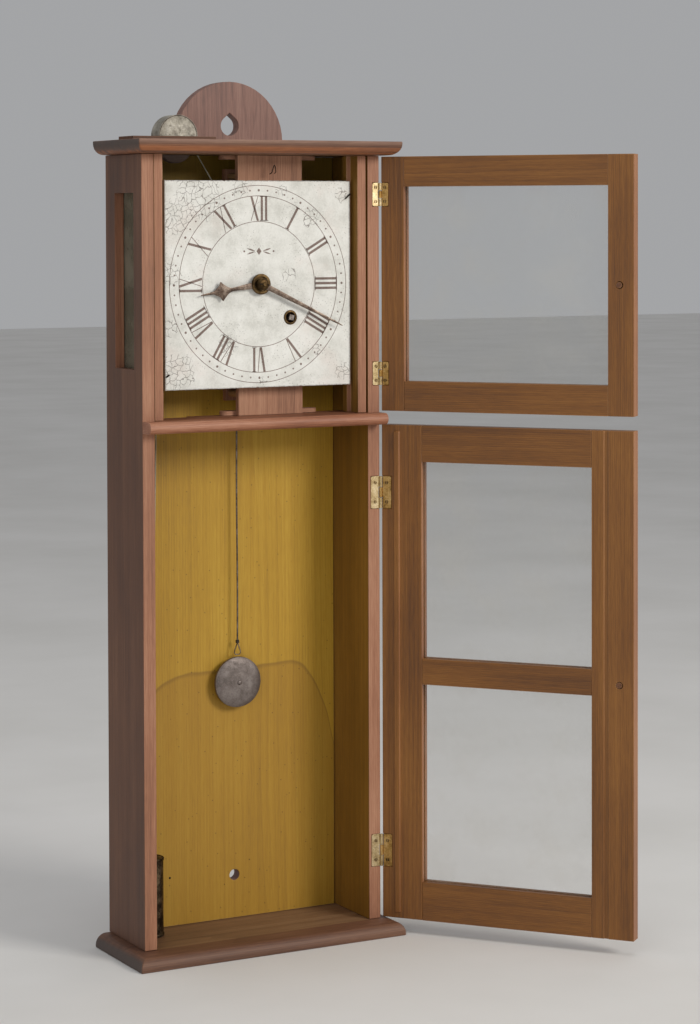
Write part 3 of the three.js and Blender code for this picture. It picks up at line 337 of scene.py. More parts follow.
def board_wood():
    """Top and base boards: greyer along the upper edge, orange under the round."""
    paint = Paint("board_wood")
    parts = grain(paint, (1, 0, 0), (0.14, 0.05, 0), 1.8 * MM)
    outer = wood_colour(paint, parts, BROWN)
    rubbed = wood_colour(paint, parts, ((92, 64, 52), (146, 112, 94), (184, 152, 134)))
    warm = wood_colour(paint, parts, ((96, 50, 26), (150, 88, 48), (184, 122, 76)))
    floor = wood_colour(paint, parts, FLOOR_TONE)
    height = paint.split(paint.place)[2]
    crest = paint.both(
        paint.step(height, top_high.z - 5 * MM, top_high.z - 1 * MM), paint.step(parts[3], 0.3, 0.6))
    belly = paint.both(
        paint.step(height, top_low.z - 1 * MM, top_low.z + 1 * MM),
        paint.math("SUBTRACT", 1.0, paint.step(height, top_low.z + 5 * MM, top_low.z + 9 * MM)),
        paint.step(parts[2], 0.3, 0.6))
    colour = paint.mix(paint.math("MULTIPLY", crest, 0.6), outer, rubbed)
    colour = paint.mix(paint.math("MULTIPLY", belly, 0.8), colour, warm)
    colour = paint.mix(inside_case(paint), colour, floor)
    end = paint.step(paint.math("ABSOLUTE", paint.split(paint.facing)[0]), 0.6, 0.9)
    colour = paint.mix(paint.math("MULTIPLY", end, 0.8), colour, srgb(72, 63, 58))
    return finish_wood(paint, parts, colour, 0.48, (176, 134, 110))


def back_wood():
    """Back board: yellow stain inside the case, bare and grey-brown on the head and behind."""
    paint = Paint("back_wood")
    parts = grain(paint, (0, 0, 1), (-0.02, 0.075, 0), 2.2 * MM)
    head = wood_colour(paint, parts, ((88, 62, 56), (134, 98, 86), (160, 126, 112)))
    yellow = wood_colour(paint, parts, YELLOW, 0.1, 0.7)
    x, _, z = paint.split(paint.place)
    # The yellow turns darker and more orange in a patch with rounded upper corners and a darker rim, from
    # the base up to about 245 mm above it.
    ripple = paint.noise(paint.turn(paint.place, scale=(9, 1, 9)), 1.0, 3.0)
    corner = paint.math("POWER", paint.math("MULTIPLY", paint.math("ABSOLUTE", x), 9.4), 6.0)
    edge = paint.math("MULTIPLY_ADD", corner, -0.06, DARK_PATCH_TOP)
    edge = paint.math("MULTIPLY_ADD", paint.math("SUBTRACT", ripple, 0.5), 0.03, edge)
    depth = paint.math("SUBTRACT", edge, z)
    dark_patch = paint.step(depth, 0.0, 2.5 * MM)
    rim = paint.both(dark_patch, paint.math("SUBTRACT", 1.0, paint.step(depth, 2 * MM, 7 * MM)))
    yellow = paint.mix(
        paint.math("MULTIPLY", dark_patch, 0.32), yellow, srgb(142, 98, 30))
    yellow = paint.mix(paint.math("MULTIPLY", rim, 0.4), yellow, srgb(104, 72, 20))
    # Painted shade: the yellow darkens towards the top, behind the dial and under the top board.
    shade_towards_top = paint.step(z, dial_low.z - 40 * MM, dial_high.z)
    yellow = paint.mix(paint.math("MULTIPLY", shade_towards_top, 0.45), yellow, srgb(96, 84, 26))
    specks = paint.math(
        "SUBTRACT", 1.0, paint.step(paint.cells(paint.place, 130, "F1"), 0.05, 0.12))
    yellow = paint.mix(paint.both(specks, 0.5), yellow, srgb(60, 42, 18))
    colour = paint.mix(inside_case(paint), head, yellow)
    return finish_wood(paint, parts, colour, 0.52, (168, 140, 122))


# The top of that darker patch, above the base board.
DARK_PATCH_TOP = base_high.z + 0.245


def batten_wood():
    paint = Paint("batten_wood")
    parts = grain(paint, (0, 0, 1), (0.09, 0.04, 0), 1.8 * MM)
    gold = wood_colour(paint, parts, SHADED_GOLD)
    edge = wood_colour(paint, parts, LIT_FRONT_TONES)
    # Painted light and shade: the batten fronts take the lighter copy, the other faces the darker gold.
    colour = paint.mix(lit_front_faces(paint), gold, edge)
    return finish_wood(paint, parts, colour, 0.55, (200, 160, 130))


def plain_wood(name, tones, direction, pith, spacing, roughness=0.5, edge_tone=None, rings=0.12):
    """Wood of one tone set on every face."""
    paint = Paint(name)
    parts = grain(paint, direction, pith, spacing)
    return finish_wood(
        paint, parts, wood_colour(paint, parts, tones, rings), roughness, edge_tone)


def door_wood(name, direction, pith):
    """Varnished door wood, with a paler bare edge where a pane or rebate was cut."""
    paint = Paint(name)
    parts = grain(paint, direction, pith, 1.7 * MM)
    face = wood_colour(paint, parts, DOOR)
    reveal = wood_colour(paint, parts, ((128, 84, 58), (165, 112, 82), (192, 144, 114)))
    facing = paint.split(paint.turn(paint.facing, (0, 0, DOOR_ANGLE)))
    cut = paint.step(paint.math("ABSOLUTE", facing[0]), 0.8, 0.95)
    colour = paint.mix(paint.math("MULTIPLY", cut, 0.55), face, reveal)
    return finish_wood(paint, parts, colour, 0.42, (190, 140, 92), 1.0 * MM)


# ---------------------------------------------------------------- metal, paint, glass and cord


def metal(name, tones, roughness, dirt, grime=0.45, scratch=0.3, metallic=1.0):
    """Aged metal: three tones, grime in patches, fine scratches and small dents."""
    paint = Paint(name)
    patches = paint.noise(paint.place, 110, 4.0)
    spots = paint.noise(paint.place, 900, 2.0)
    level = paint.math("MULTIPLY_ADD", paint.math("SUBTRACT", spots, 0.5), 0.6, patches)
    dark, middle, light = tones
    colour = paint.ramp(level, (0.3, srgb(*dark)), (0.5, srgb(*middle)), (0.7, srgb(*light)))
    soiled = paint.step(paint.noise(paint.place, 240, 4.0, 0.7), 0.5, 0.72)
    colour = paint.mix(paint.math("MULTIPLY", soiled, grime), colour, srgb(*dirt))
    lines = paint.noise(paint.turn(paint.place, (0.4, 0.3, 0.9), (2600, 160, 160)), 1.0, 2.0)
    rough = paint.math("MULTIPLY_ADD", lines, scratch, roughness - scratch / 2)
    rough = paint.math("MULTIPLY_ADD", soiled, 0.25, rough)
    paint.set(Base_Color=colour, Roughness=rough, Metallic=metallic)
    relief = paint.math("MULTIPLY_ADD", lines, 0.3, patches)
    paint.bump(relief, 0.12 * MM, 0.6)
    return paint.material


def glass_paint(name, dull, dust_and_sheen, base, spread):
    """Thin old glass, slightly wavy, from base to base + spread of it opaque: light dust on the door
    panes, a painted reflection on the side panes.
    """
    paint = Paint(name)
    dust = paint.noise(paint.place, 26, 4.0)
    waves = paint.noise(paint.turn(paint.place, scale=(14, 14, 6)), 1.0, 2.0)
    colour = paint.mix(paint.step(dust, 0.35, 0.7), srgb(*dull), srgb(*dust_and_sheen))
    clear = paint.math("MULTIPLY_ADD", paint.step(dust, 0.4, 0.75), spread, base)
    paint.set(Base_Color=colour, Roughness=0.06, Alpha=clear)
    paint.bump(waves, 0.6 * MM, 0.35)
    return paint.material


# Places of the cracked patches on the dial, in mm from its centre: across, up, radius.
CRACKED = (
    (-62, 84, 34), (-88, 62, 24), (-92, 10, 16), (-84, -80, 24), (-93, -40, 12), (56, 62, 13),
    (32, 8, 11), (-33, -57, 15), (62, -63, 8), (88, 84, 10), (-20, 90, 12), (24, 88, 8),
    (90, -84, 12), (4, -92, 6),
)


def cracked_area(paint, across, up):
    """1 inside the patches where the dial's paint has cracked."""
    total = 0.0
    for x, z, radius in CRACKED:
        dx = paint.math("SUBTRACT", across, x * MM)
        dz = paint.math("SUBTRACT", up, z * MM)
        square = paint.math("ADD", paint.math("MULTIPLY", dx, dx), paint.math("MULTIPLY", dz, dz))
        spot = paint.math("SUBTRACT", 1.0, paint.step(
            paint.math("SQRT", square), 0.35 * radius * MM, radius * MM))
        total = paint.math("MAXIMUM", total, spot)
    return total


def dial_surface(name, ink=None):
    """Aged white dial paint with cracks. With ink, a worn printed mark on that paint."""
    paint = Paint(name)
    x, _, z = paint.split(paint.place)
    across = paint.math("SUBTRACT", x, DIAL.x)
    up = paint.math("SUBTRACT", z, DIAL.z)
    mottled = paint.noise(paint.place, 60, 5.0, 0.6)
    fine = paint.noise(paint.place, 700, 3.0, 0.7)
    level = paint.math("MULTIPLY_ADD", paint.math("SUBTRACT", fine, 0.5), 0.5, mottled)
    white = paint.ramp(
        level, (0.3, srgb(204, 203, 195)), (0.5, srgb(222, 221, 214)), (0.72, srgb(233, 232, 226)))
    stain = paint.step(paint.noise(paint.place, 22, 3.0), 0.52, 0.72)
    colour = paint.mix(paint.math("MULTIPLY", stain, 0.35), white, srgb(216, 200, 190))
    if ink:
        worn = paint.step(paint.noise(paint.place, 1500, 3.0, 0.7), 0.28, 0.5)
        shade = paint.ramp(mottled, (0.35, srgb(*ink)), (0.7, srgb(*[v + 26 for v in ink])))
        colour = paint.mix(paint.math("MULTIPLY_ADD", worn, 0.45, 0.55), colour, shade)
    other = paint.noise(paint.turn(paint.place, shift=(3, 5, 1)), 70, 3.0)
    bend = paint.joined(paint.noise(paint.place, 70, 3.0), other, 0.0)
    swirl = paint.tree.nodes.new("ShaderNodeVectorMath")
    swirl.operation = "MULTIPLY_ADD"
    paint.put(swirl.inputs[0], bend)
    paint.put(swirl.inputs[1], (0.016, 0.016, 0.0))
    paint.put(swirl.inputs[2], paint.joined(across, up, 0.0))
    edges = paint.cells(swirl.outputs[0], 180, flat=True)
    crack = paint.math("SUBTRACT", 1.0, paint.step(edges, 0.012, 0.06))
    patchy = paint.step(
        paint.math("MULTIPLY_ADD", paint.noise(paint.place, 120, 3.0), 0.9,
                   paint.math("MULTIPLY_ADD", cracked_area(paint, across, up), 0.5, -0.62)),
        0.0, 0.12)
    crack = paint.both(crack, patchy)
    specks = paint.cells(paint.joined(across, up, 0.0), 260, "F1", True)
    flecks = paint.both(
        paint.math("SUBTRACT", 1.0, paint.step(specks, 0.07, 0.13)),
        paint.step(paint.noise(paint.place, 45, 3.0), 0.5, 0.62))
    mark = paint.math(
        "MAXIMUM", paint.math("MULTIPLY", crack, 0.7), paint.both(flecks, 0.5))
    half = (dial_high.x - dial_low.x) / 2
    rim = paint.math("MAXIMUM", paint.math("ABSOLUTE", across), paint.math("ABSOLUTE", up))
    rim = paint.math("MULTIPLY_ADD", paint.math("SUBTRACT", fine, 0.5), 3 * MM, rim)
    chipped = paint.step(rim, half - 1.6 * MM, half - 0.4 * MM)
    mark = paint.math("MAXIMUM", mark, paint.math("MULTIPLY", chipped, 0.6))
    colour = paint.mix(mark, colour, srgb(74, 58, 46))
    paint.set(Base_Color=colour, Roughness=paint.math("MULTIPLY_ADD", fine, 0.3, 0.4))
    relief = paint.math("MULTIPLY_ADD", crack, -1.6, paint.math("MULTIPLY", fine, 0.5))
    paint.bump(relief, 0.12 * MM, 0.8)
    return paint.material


def cord_paint():
    paint = Paint("cord_fibre")
    hairs = paint.noise(paint.turn(paint.place, scale=(3000, 3000, 500)), 1.0, 3.0)
    colour = paint.ramp(hairs, (0.3, srgb(132, 124, 104)), (0.7, srgb(198, 192, 172)))
    paint.set(Base_Color=colour, Roughness=0.9)
    paint.bump(hairs, 0.1 * MM, 0.8)
    return paint.material


DARK_BRASS = metal("dark_brass", ((60, 46, 30), (88, 69, 44), (118, 96, 64)), 0.5, (44, 34, 24))
LEAF_BRASS = {
    "case": metal("pale_brass", ((170, 146, 104), (204, 182, 138), (226, 208, 170)), 0.4, (110, 88, 56)),
    "door": metal("gold_brass", ((146, 112, 58), (186, 146, 84), (212, 176, 116)), 0.38, (96, 70, 38)),
}
WORKS_BRASS = metal(
    "works_brass", ((122, 92, 44), (168, 132, 70), (196, 162, 96)), 0.4, (74, 54, 30), 0.6)
STEEL = metal("drawn_steel", ((70, 64, 60), (112, 104, 98), (146, 138, 132)), 0.42, (70, 46, 34))
PEWTER = metal(
    "pewter", ((106, 97, 92), (124, 114, 109), (140, 131, 126)), 0.5, (92, 82, 76), 0.25, 0.3, 0.8)
TIN = metal(
    "foil_tin", ((138, 133, 122), (166, 160, 147), (190, 185, 173)), 0.6, (116, 107, 92), 0.35, 0.2, 0.7)
DULL_TIN = metal("dull_tin", ((66, 58, 52), (98, 88, 80), (124, 114, 104)), 0.55, (58, 44, 34))
IRON = metal("dark_iron", ((26, 22, 20), (46, 40, 36), (78, 70, 64)), 0.5, (70, 42, 26), 0.4)
HAND = metal(
    "hand_steel", ((66, 54, 48), (104, 90, 80), (142, 128, 116)), 0.4, (60, 40, 28), 0.55, 0.3)
GLASS = glass_paint("old_glass", (142, 148, 140), (186, 184, 172), 0.05, 0.07)
# Painted reflection: the side panes are a mostly opaque grey-brown sheet standing for the grey reflection
# on their glass.
SIDE_GLASS_REFLECTION = glass_paint("side_glass", (96, 93, 78), (124, 118, 102), 0.78, 0.14)
DIAL_PAINT = dial_surface("dial_paint")
DIAL_INK = dial_surface("dial_ink", (98, 76, 66))
CORD = cord_paint()

# ---------------------------------------------------------------- the CAD nodes that stay


def softener():
    """A node group that welds a node's corners and shades its curved faces smooth."""
    group = bpy.data.node_groups.new("soften", "GeometryNodeTree")
    group.interface.new_socket("Geometry", in_out="INPUT", socket_type="NodeSocketGeometry")
    group.interface.new_socket("Geometry", in_out="OUTPUT", socket_type="NodeSocketGeometry")
    nodes, links = group.nodes, group.links
    start = nodes.new("NodeGroupInput")
    end = nodes.new("NodeGroupOutput")
    plain = nodes.new("GeometryNodeRemoveAttribute")
    plain.inputs["Name"].default_value = "custom_normal"
    weld = nodes.new("GeometryNodeMergeByDistance")
    weld.inputs["Distance"].default_value = 0.002 * MM
    smooth = nodes.new("GeometryNodeSetShadeSmooth")
    smooth.domain = "FACE"
    angle = nodes.new("GeometryNodeInputMeshEdgeAngle")
    gentle = nodes.new("ShaderNodeMath")
    gentle.operation = "LESS_THAN"
    gentle.inputs[1].default_value = math.radians(32)
    sharp = nodes.new("GeometryNodeSetShadeSmooth")
    sharp.domain = "EDGE"
    links.new(start.outputs[0], plain.inputs["Geometry"])
    links.new(plain.outputs[0], weld.inputs["Geometry"])
    links.new(weld.outputs[0], smooth.inputs["Geometry"])
    links.new(smooth.outputs[0], sharp.inputs["Geometry"])
    links.new(angle.outputs["Unsigned Angle"], gentle.inputs[0])
    links.new(gentle.outputs[0], sharp.inputs["Shade Smooth"])
    links.new(sharp.outputs[0], end.inputs[0])
    return group


SOFTEN = softener()


def dress(node, material, round_edge=0.0):
    """Gives a CAD node its material, smooth shading and, if asked, rounded edges."""
    obj = frame["nodes"][node]
    obj.data.materials.clear()
    obj.data.materials.append(material)
    weld = obj.modifiers.new("soften", "NODES")
    weld.node_group = SOFTEN
    if round_edge:
        flat = obj.modifiers.new("flat", "DECIMATE")
        flat.decimate_type = "DISSOLVE"
        flat.angle_limit = math.radians(1)
        bevel = obj.modifiers.new("edges", "BEVEL")
        bevel.width = round_edge
        bevel.segments = 2
        bevel.limit_method = "ANGLE"
        bevel.angle_limit = math.radians(35)
        bevel.use_clamp_overlap = True


def dress_case():
    boards = board_wood()
    for node in ("base_board", "top_board"):
        dress(node, boards, 0.9 * MM)
    sides = side_wood()
    for node in ("left_side", "right_side"):
        dress(node, sides, 0.5 * MM)
    dress("back_board", back_wood(), 0.6 * MM)
    dress("middle_rail", plain_wood(
        "rail_wood", RAIL, (1, 0, 0), (0.1, 0.05, 0), 1.6 * MM, 0.45, (204, 156, 130)), 0.5 * MM)
    battens = batten_wood()
    for node in ("left_dial_batten", "right_dial_batten"):
        dress(node, battens, 0.4 * MM)
    dress("pulley_plate", plain_wood(
        "plate_wood", BROWN, (1, 0, 0), (0.05, 0.08, 0), 1.6 * MM, 0.6, (150, 118, 96)), 0.3 * MM)
    for node in ("left_side_glass", "right_side_glass"):
        dress(node, SIDE_GLASS_REFLECTION, 0.2 * MM)


def dress_doors():
    upright = door_wood("door_upright", (0, 0, 1), (0.05, 0.16, 0))
    across = door_wood("door_across", DOOR_ALONG, (0.12, 0.07, 0))
    for door in ("upper_door", "lower_door"):
        for part in ("hinge_stile", "free_stile"):
            dress(f"{door}_{part}", upright, 0.5 * MM)
        for part in ("top_rail", "bottom_rail"):
            dress(f"{door}_{part}", across, 0.4 * MM)
    dress("lower_door_middle_rail", across, 0.4 * MM)
    for pane in ("upper_door_pane", "lower_door_lower_pane", "lower_door_upper_pane"):
        dress(pane, GLASS)


def dress_works():
    upright = plain_wood("works_upright", WORKS, (0, 0, 1), (0.05, 0.1, 0), 1.6 * MM, 0.6)
    across = plain_wood("works_across", WORKS, (1, 0, 0), (0.05, 0.1, 0), 1.6 * MM, 0.6)
    depthwise = plain_wood("works_turned", PALE_WORKS, (0, 1, 0), (0.03, 0.02, 0), 2 * MM, 0.6)
    for node in ("front_plate", "back_plate"):
        dress(node, upright)
    for node in ("upper_cleat", "lower_cleat"):
        dress(node, across)
    for node in (
            "upper_left_pillar", "upper_right_pillar", "lower_left_pillar", "lower_right_pillar",
            "winding_drum", "great_wheel"):
        dress(node, depthwise)
    disc = plain_wood(
        "pulley_wood", ((70, 54, 48), (112, 92, 82), (150, 130, 118)), (1, 0, 0),
        (0.02, 0.05, 0), 1.8 * MM, 0.6, (170, 150, 136))
    dress("pulley", disc)
    for node in ("center_arbor", "third_wheel", "escape_wheel", "minute_wheel", "suspension_stud"):
        dress(node, WORKS_BRASS)
    dress("verge", STEEL)


# ---------------------------------------------------------------- mesh helpers


def finished(name, mesh, material, body, stands_for=()):
    """A new piece from a mesh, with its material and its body."""
    obj = bpy.data.objects.new(name, mesh)
    bpy.context.scene.collection.objects.link(obj)
    mesh.materials.clear()
    mesh.materials.append(material)
    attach(obj, body)
    if stands_for:
        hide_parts(*stands_for)
    return obj


def from_bmesh(name, made, smooth_angle=35):
    """A mesh from a bmesh, with edges sharper than the angle kept sharp."""
    bmesh.ops.recalc_face_normals(made, faces=made.faces)
    for face in made.faces:
        face.smooth = True
    for edge in made.edges:
        if len(edge.link_faces) == 2 and edge.calc_face_angle(0) > math.radians(smooth_angle):
            edge.smooth = False
    mesh = bpy.data.meshes.new(name)
    made.to_mesh(mesh)
    made.free()
    return mesh


def piece(name, made, sharp, material, body, stands_for=()):
    """A finished piece from a bmesh, keeping edges sharper than the angle sharp."""
    return finished(name, from_bmesh(name, made, sharp), material, body, stands_for)


def add_lathe(made, profile, place, axis, segments=64, wobble=None):
    """Adds a body of revolution. The profile is (radius, distance along the axis) pairs."""
    turn = Vector((0, 0, 1)).rotation_difference(Vector(axis))
    rings = []
    for radius, along in profile:
        ring = []
        count = 1 if radius < 1e-6 else segments
        for k in range(count):
            angle = 2 * math.pi * k / segments
            point = Vector((radius * math.cos(angle), radius * math.sin(angle), along))
            if wobble and count > 1:
                point = wobble(point)
            ring.append(made.verts.new(Vector(place) + turn @ point))
        rings.append(ring)
    for low, high in zip(rings, rings[1:]):
        for k in range(segments):
            a, b = low[k % len(low)], low[(k + 1) % len(low)]
            c, d = high[(k + 1) % len(high)], high[k % len(high)]
            corners = [v for i, v in enumerate((a, b, c, d)) if v not in (a, b, c, d)[:i]]
            if len(corners) > 2:
                made.faces.new(corners)


def add_tube(made, path, radius, sides=10, closed=False):
    """Adds a round bar along a list of points, with capped ends unless it is closed."""
    points = [Vector(p) for p in path]
    count = len(points)
    rings = []
    side = None
    for k, point in enumerate(points):
        before = points[(k - 1) % count] if closed or k else point
        after = points[(k + 1) % count] if closed or k < count - 1 else point
        ahead = (after - before).normalized()
        if side is None:
            side = ahead.orthogonal().normalized()
        side = (side - ahead * side.dot(ahead)).normalized()
        other = ahead.cross(side)
        size = radius(k / max(count - 1, 1)) if callable(radius) else radius
        rings.append([
            made.verts.new(point + size * (
                side * math.cos(2 * math.pi * s / sides) + other * math.sin(2 * math.pi * s / sides)))
            for s in range(sides)])
    pairs = list(zip(rings, rings[1:]))
    if closed:
        pairs.append((rings[-1], rings[0]))
    for low, high in pairs:
        for s in range(sides):
            t = (s + 1) % sides
            made.faces.new((low[s], low[t], high[t], high[s]))
    if not closed:
        made.faces.new(rings[0][::-1])
        made.faces.new(rings[-1])


def plate(name, loops, front, thickness, bevel=0.0, turn=0.0, place=(0, 0)):
    """A flat piece in X and Z from closed outlines, holes included, with its front at front.

    loops are lists of (x, z) points about place, turned clockwise by turn as seen from the room.
    """
    curve = bpy.data.curves.new(name, "CURVE")
    curve.dimensions = "2D"
    curve.fill_mode = "BOTH"
    curve.extrude = thickness / 2 - bevel
    curve.bevel_depth = bevel
    curve.bevel_resolution = 2
    curve.offset = -bevel
    cos, sin = math.cos(turn), math.sin(turn)
    for loop in loops:
        spline = curve.splines.new("POLY")
        spline.points.add(len(loop) - 1)
        for point, (x, z) in zip(spline.points, loop):
            point.co = (place[0] + x * cos + z * sin, place[1] + z * cos - x * sin, 0, 1)
        spline.use_cyclic_u = True
    holder = bpy.data.objects.new(name, curve)
    bpy.context.scene.collection.objects.link(holder)
    view = bpy.context.evaluated_depsgraph_get()
    mesh = bpy.data.meshes.new_from_object(holder.evaluated_get(view))
    bpy.data.objects.remove(holder)
    bpy.data.curves.remove(curve)
    upright = Matrix.Rotation(math.radians(90), 4, "X")
    mesh.transform(Matrix.Translation((0, front + thickness / 2, 0)) @ upright)
    return mesh


def circle(radius, count=96, x=0.0, z=0.0, backwards=False):
    """A closed round outline."""
    step = (-2 if backwards else 2) * math.pi / count
    return [(x + radius * math.cos(step * k), z + radius * math.sin(step * k)) for k in range(count)]


def arc(radius, start, end, count, x=0.0, z=0.0):
    """Points on an arc, angles in degrees."""
    angles = [math.radians(start + (end - start) * k / count) for k in range(count + 1)]
    return [(x + radius * math.cos(a), z + radius * math.sin(a)) for a in angles]


def merged(name, meshes):
    """Several meshes as one."""
    made = bmesh.new()
    for mesh in meshes:
        made.from_mesh(mesh)
        bpy.data.meshes.remove(mesh)
    return from_bmesh(name, made)


# ---------------------------------------------------------------- dial

RING_R = (93.4 * MM, 83.6 * MM, 59.4 * MM)
RING_LINE = 0.6 * MM
INK_PROUD = 0.03 * MM
INK_T = 0.12 * MM
DOT_R = (0.85 * MM, 1.15 * MM)
STROKE_W = 2.35 * MM
HAIR_W = 0.7 * MM
STROKE_GAP = 4.5 * MM
V_WIDTH = 8.6 * MM
HOUR_MARKS = ("I", "II", "III", "IIII", "V", "VI", "VII", "VIII", "IX", "X", "XI", "XII")


def ragged_square(half):
    """The dial's outline, straight at the sides and ragged along the top and bottom."""
    points = []
    count = 130
    for side in range(4):
        for k in range(count):
            along = -half + 2 * half * k / count
            rough = 1.4 * MM if side in (0, 2) else 0.25 * MM
            chip = abs(noise.noise(Vector((along * 260, side * 7.3, 2.0))))
            depth = half - rough * (0.5 * chip + 0.5 * abs(noise.noise(Vector((along * 900, side, 5)))))
            x, z = ((along, -depth), (depth, along), (-along, depth), (-depth, -along))[side]
            points.append((x, z))
    return points


def slanted(x0, x1, width, inner, outer):
    """A stroke from x0 at the inner radius to x1 at the outer radius."""
    half = width / 2
    return [(x0 - half, inner), (x0 + half, inner), (x1 + half, outer), (x1 - half, outer)]


def numeral(text, inner, outer):
    """The strokes of a Roman numeral that stands on its feet at the inner radius."""
    widths = {"I": STROKE_GAP, "V": V_WIDTH + STROKE_GAP * 0.5, "X": V_WIDTH + STROKE_GAP * 0.5}
    total = sum(widths[letter] for letter in text)
    cursor = -total / 2
    loops = []
    for letter in text:
        middle = cursor + widths[letter] / 2
        half = V_WIDTH / 2
        if letter == "I":
            loops.append(slanted(middle, middle, STROKE_W, inner, outer))
        elif letter == "V":
            foot = middle + half * 0.15
            loops.append(slanted(foot, middle - half * 0.75, STROKE_W, inner, outer))
            loops.append(slanted(foot + STROKE_W * 0.4, middle + half * 0.85, HAIR_W, inner, outer))
        else:
            loops.append(slanted(middle + half * 0.8, middle - half * 0.8, STROKE_W, inner, outer))
            loops.append(slanted(middle - half * 0.85, middle + half * 0.85, HAIR_W, inner, outer))
        foot_half = HAIR_W / 2
        for level in (inner + foot_half, outer - foot_half):
            if letter == "I":
                loops.append([
                    (middle - STROKE_W, level - foot_half), (middle + STROKE_W, level - foot_half),
                    (middle + STROKE_W, level + foot_half), (middle - STROKE_W, level + foot_half)])
        cursor += widths[letter]
    return loops


def ink(name, loops_list, lift=0.0):
    """Printed marks on the dial's front, as thin plates."""
    front = DIAL.y - INK_PROUD - lift
    meshes = [
        plate(name, loops, front, INK_T, turn=turn, place=(DIAL.x, DIAL.z))
        for loops, turn in loops_list]
    return finished(name, merged(name, meshes), DIAL_INK, "case")


def build_dial():
    half = (dial_high.x - dial_low.x) / 2
    winding = (WINDING.x - DIAL.x, WINDING.z - DIAL.z)
    loops = [
        ragged_square(half - 0.1 * MM), circle(4.7 * MM, 48),
        circle(6.3 * MM, 48, *winding)]
    mesh = plate(
        "dial_plate", loops, DIAL.y, dial_high.y - dial_low.y, 0.25 * MM, place=(DIAL.x, DIAL.z))
    finished("dial_plate", mesh, DIAL_PAINT, "case", ("dial",))

    rings = [([circle(r, 180), circle(r - RING_LINE, 180)], 0.0) for r in RING_R]
    ink("dial_rings", rings)
    dots = []
    for minute in range(60):
        angle = 2 * math.pi * minute / 60
        size = DOT_R[1] if minute % 5 == 0 else DOT_R[0]
        middle = (RING_R[0] + RING_R[1]) / 2
        dots.append(([circle(size, 14, 0, middle)], angle))
    ink("dial_minute_dots", dots)
    marks = []
    for hour, text in enumerate(HOUR_MARKS, start=1):
        for stroke in numeral(text, RING_R[2] + 0.3 * MM, RING_R[1] - 0.6 * MM):
            marks.append(([stroke], math.radians(30 * hour)))
    ink("dial_numerals", marks, 0.01 * MM)
    build_ornament()


def build_ornament():
    """A small ornament under the twelve: a lozenge between two pairs of leaves and dots."""
    level = 31 * MM
    lozenge = [(0, level - 3.6 * MM), (2.6 * MM, level), (0, level + 3.6 * MM), (-2.6 * MM, level)]
    loops = [([lozenge], 0.0)]
    for side in (-1, 1):
        for lift in (-1, 1):
            leaf = []
            for k in range(13):
                share = k / 12
                bulge = 1.1 * MM * math.sin(math.pi * share)
                leaf.append((side * (4.4 + 8 * share) * MM,
                             level + lift * (0.5 * MM + 2.4 * MM * share * share) + bulge * lift))
            for k in range(12, -1, -1):
                share = k / 12
                leaf.append((side * (4.4 + 8 * share) * MM,
                             level + lift * (0.2 * MM + 2.4 * MM * share * share)))
            loops.append(([leaf], 0.0))
        loops.append(([circle(0.95 * MM, 20, side * 15.5 * MM, level)], 0.0))
    ink("dial_ornament", loops)


# ---------------------------------------------------------------- hands and winding hole


def behind(name, node, cut, material, body):
    """The part of a CAD node behind the plane y = cut, as a closed piece."""
    made = bmesh.new()
    made.from_mesh(frame["nodes"][node].data)
    bmesh.ops.remove_doubles(made, verts=made.verts, dist=0.002 * MM)
    everything = made.verts[:] + made.edges[:] + made.faces[:]
    cutting = bmesh.ops.bisect_plane(
        made, geom=everything, dist=1e-7, plane_co=(0, cut, 0), plane_no=(0, 1, 0),
        clear_inner=True)
    rim = [e for e in cutting["geom_cut"] if isinstance(e, bmesh.types.BMEdge)]
    bmesh.ops.holes_fill(made, edges=rim, sides=0)
    piece(name, made, 32, material, body)


def ridged_blade(made, sections, turn, front, back, ridge):
    """A hand's blade: half widths at distances from the centre, with a raised middle line."""
    cos, sin = math.cos(turn), math.sin(turn)

    def point(x, z, y):
        return made.verts.new((DIAL.x + x * cos + z * sin, y, DIAL.z + z * cos - x * sin))

    rows = []
    for distance, half in sections:
        lift = min(ridge, half * 0.6)
        rows.append((
            point(-half, distance, back), point(-half, distance, front + 0.25 * (back - front)),
            point(0, distance, front + ridge - lift), point(half, distance, front + 0.25 * (back - front)),
            point(half, distance, back)))
    for low, high in zip(rows, rows[1:]):
        for k in range(5):
            n = (k + 1) % 5
            made.faces.new((low[k], low[n], high[n], high[k]))
    made.faces.new(rows[0])
    made.faces.new(rows[-1][::-1])


def hand_turn(node):
    """The angle, clockwise from the top, at which a hand's tip lies farthest out."""
    best = max(
        (v.co for v in frame["nodes"][node].data.vertices),
        key=lambda co: (co.x - DIAL.x) ** 2 + (co.z - DIAL.z) ** 2)
    reach = math.hypot(best.x - DIAL.x, best.z - DIAL.z)
    return math.atan2(best.x - DIAL.x, best.z - DIAL.z), reach


def smooth_run(start, end, count, ease):
    """(distance, half width) pairs between two sections, with a curved change of width."""
    pairs = []
    for k in range(count + 1):
        share = k / count
        pairs.append((
            start[0] + (end[0] - start[0]) * share,
            start[1] + (end[1] - start[1]) * share ** ease))
    return pairs


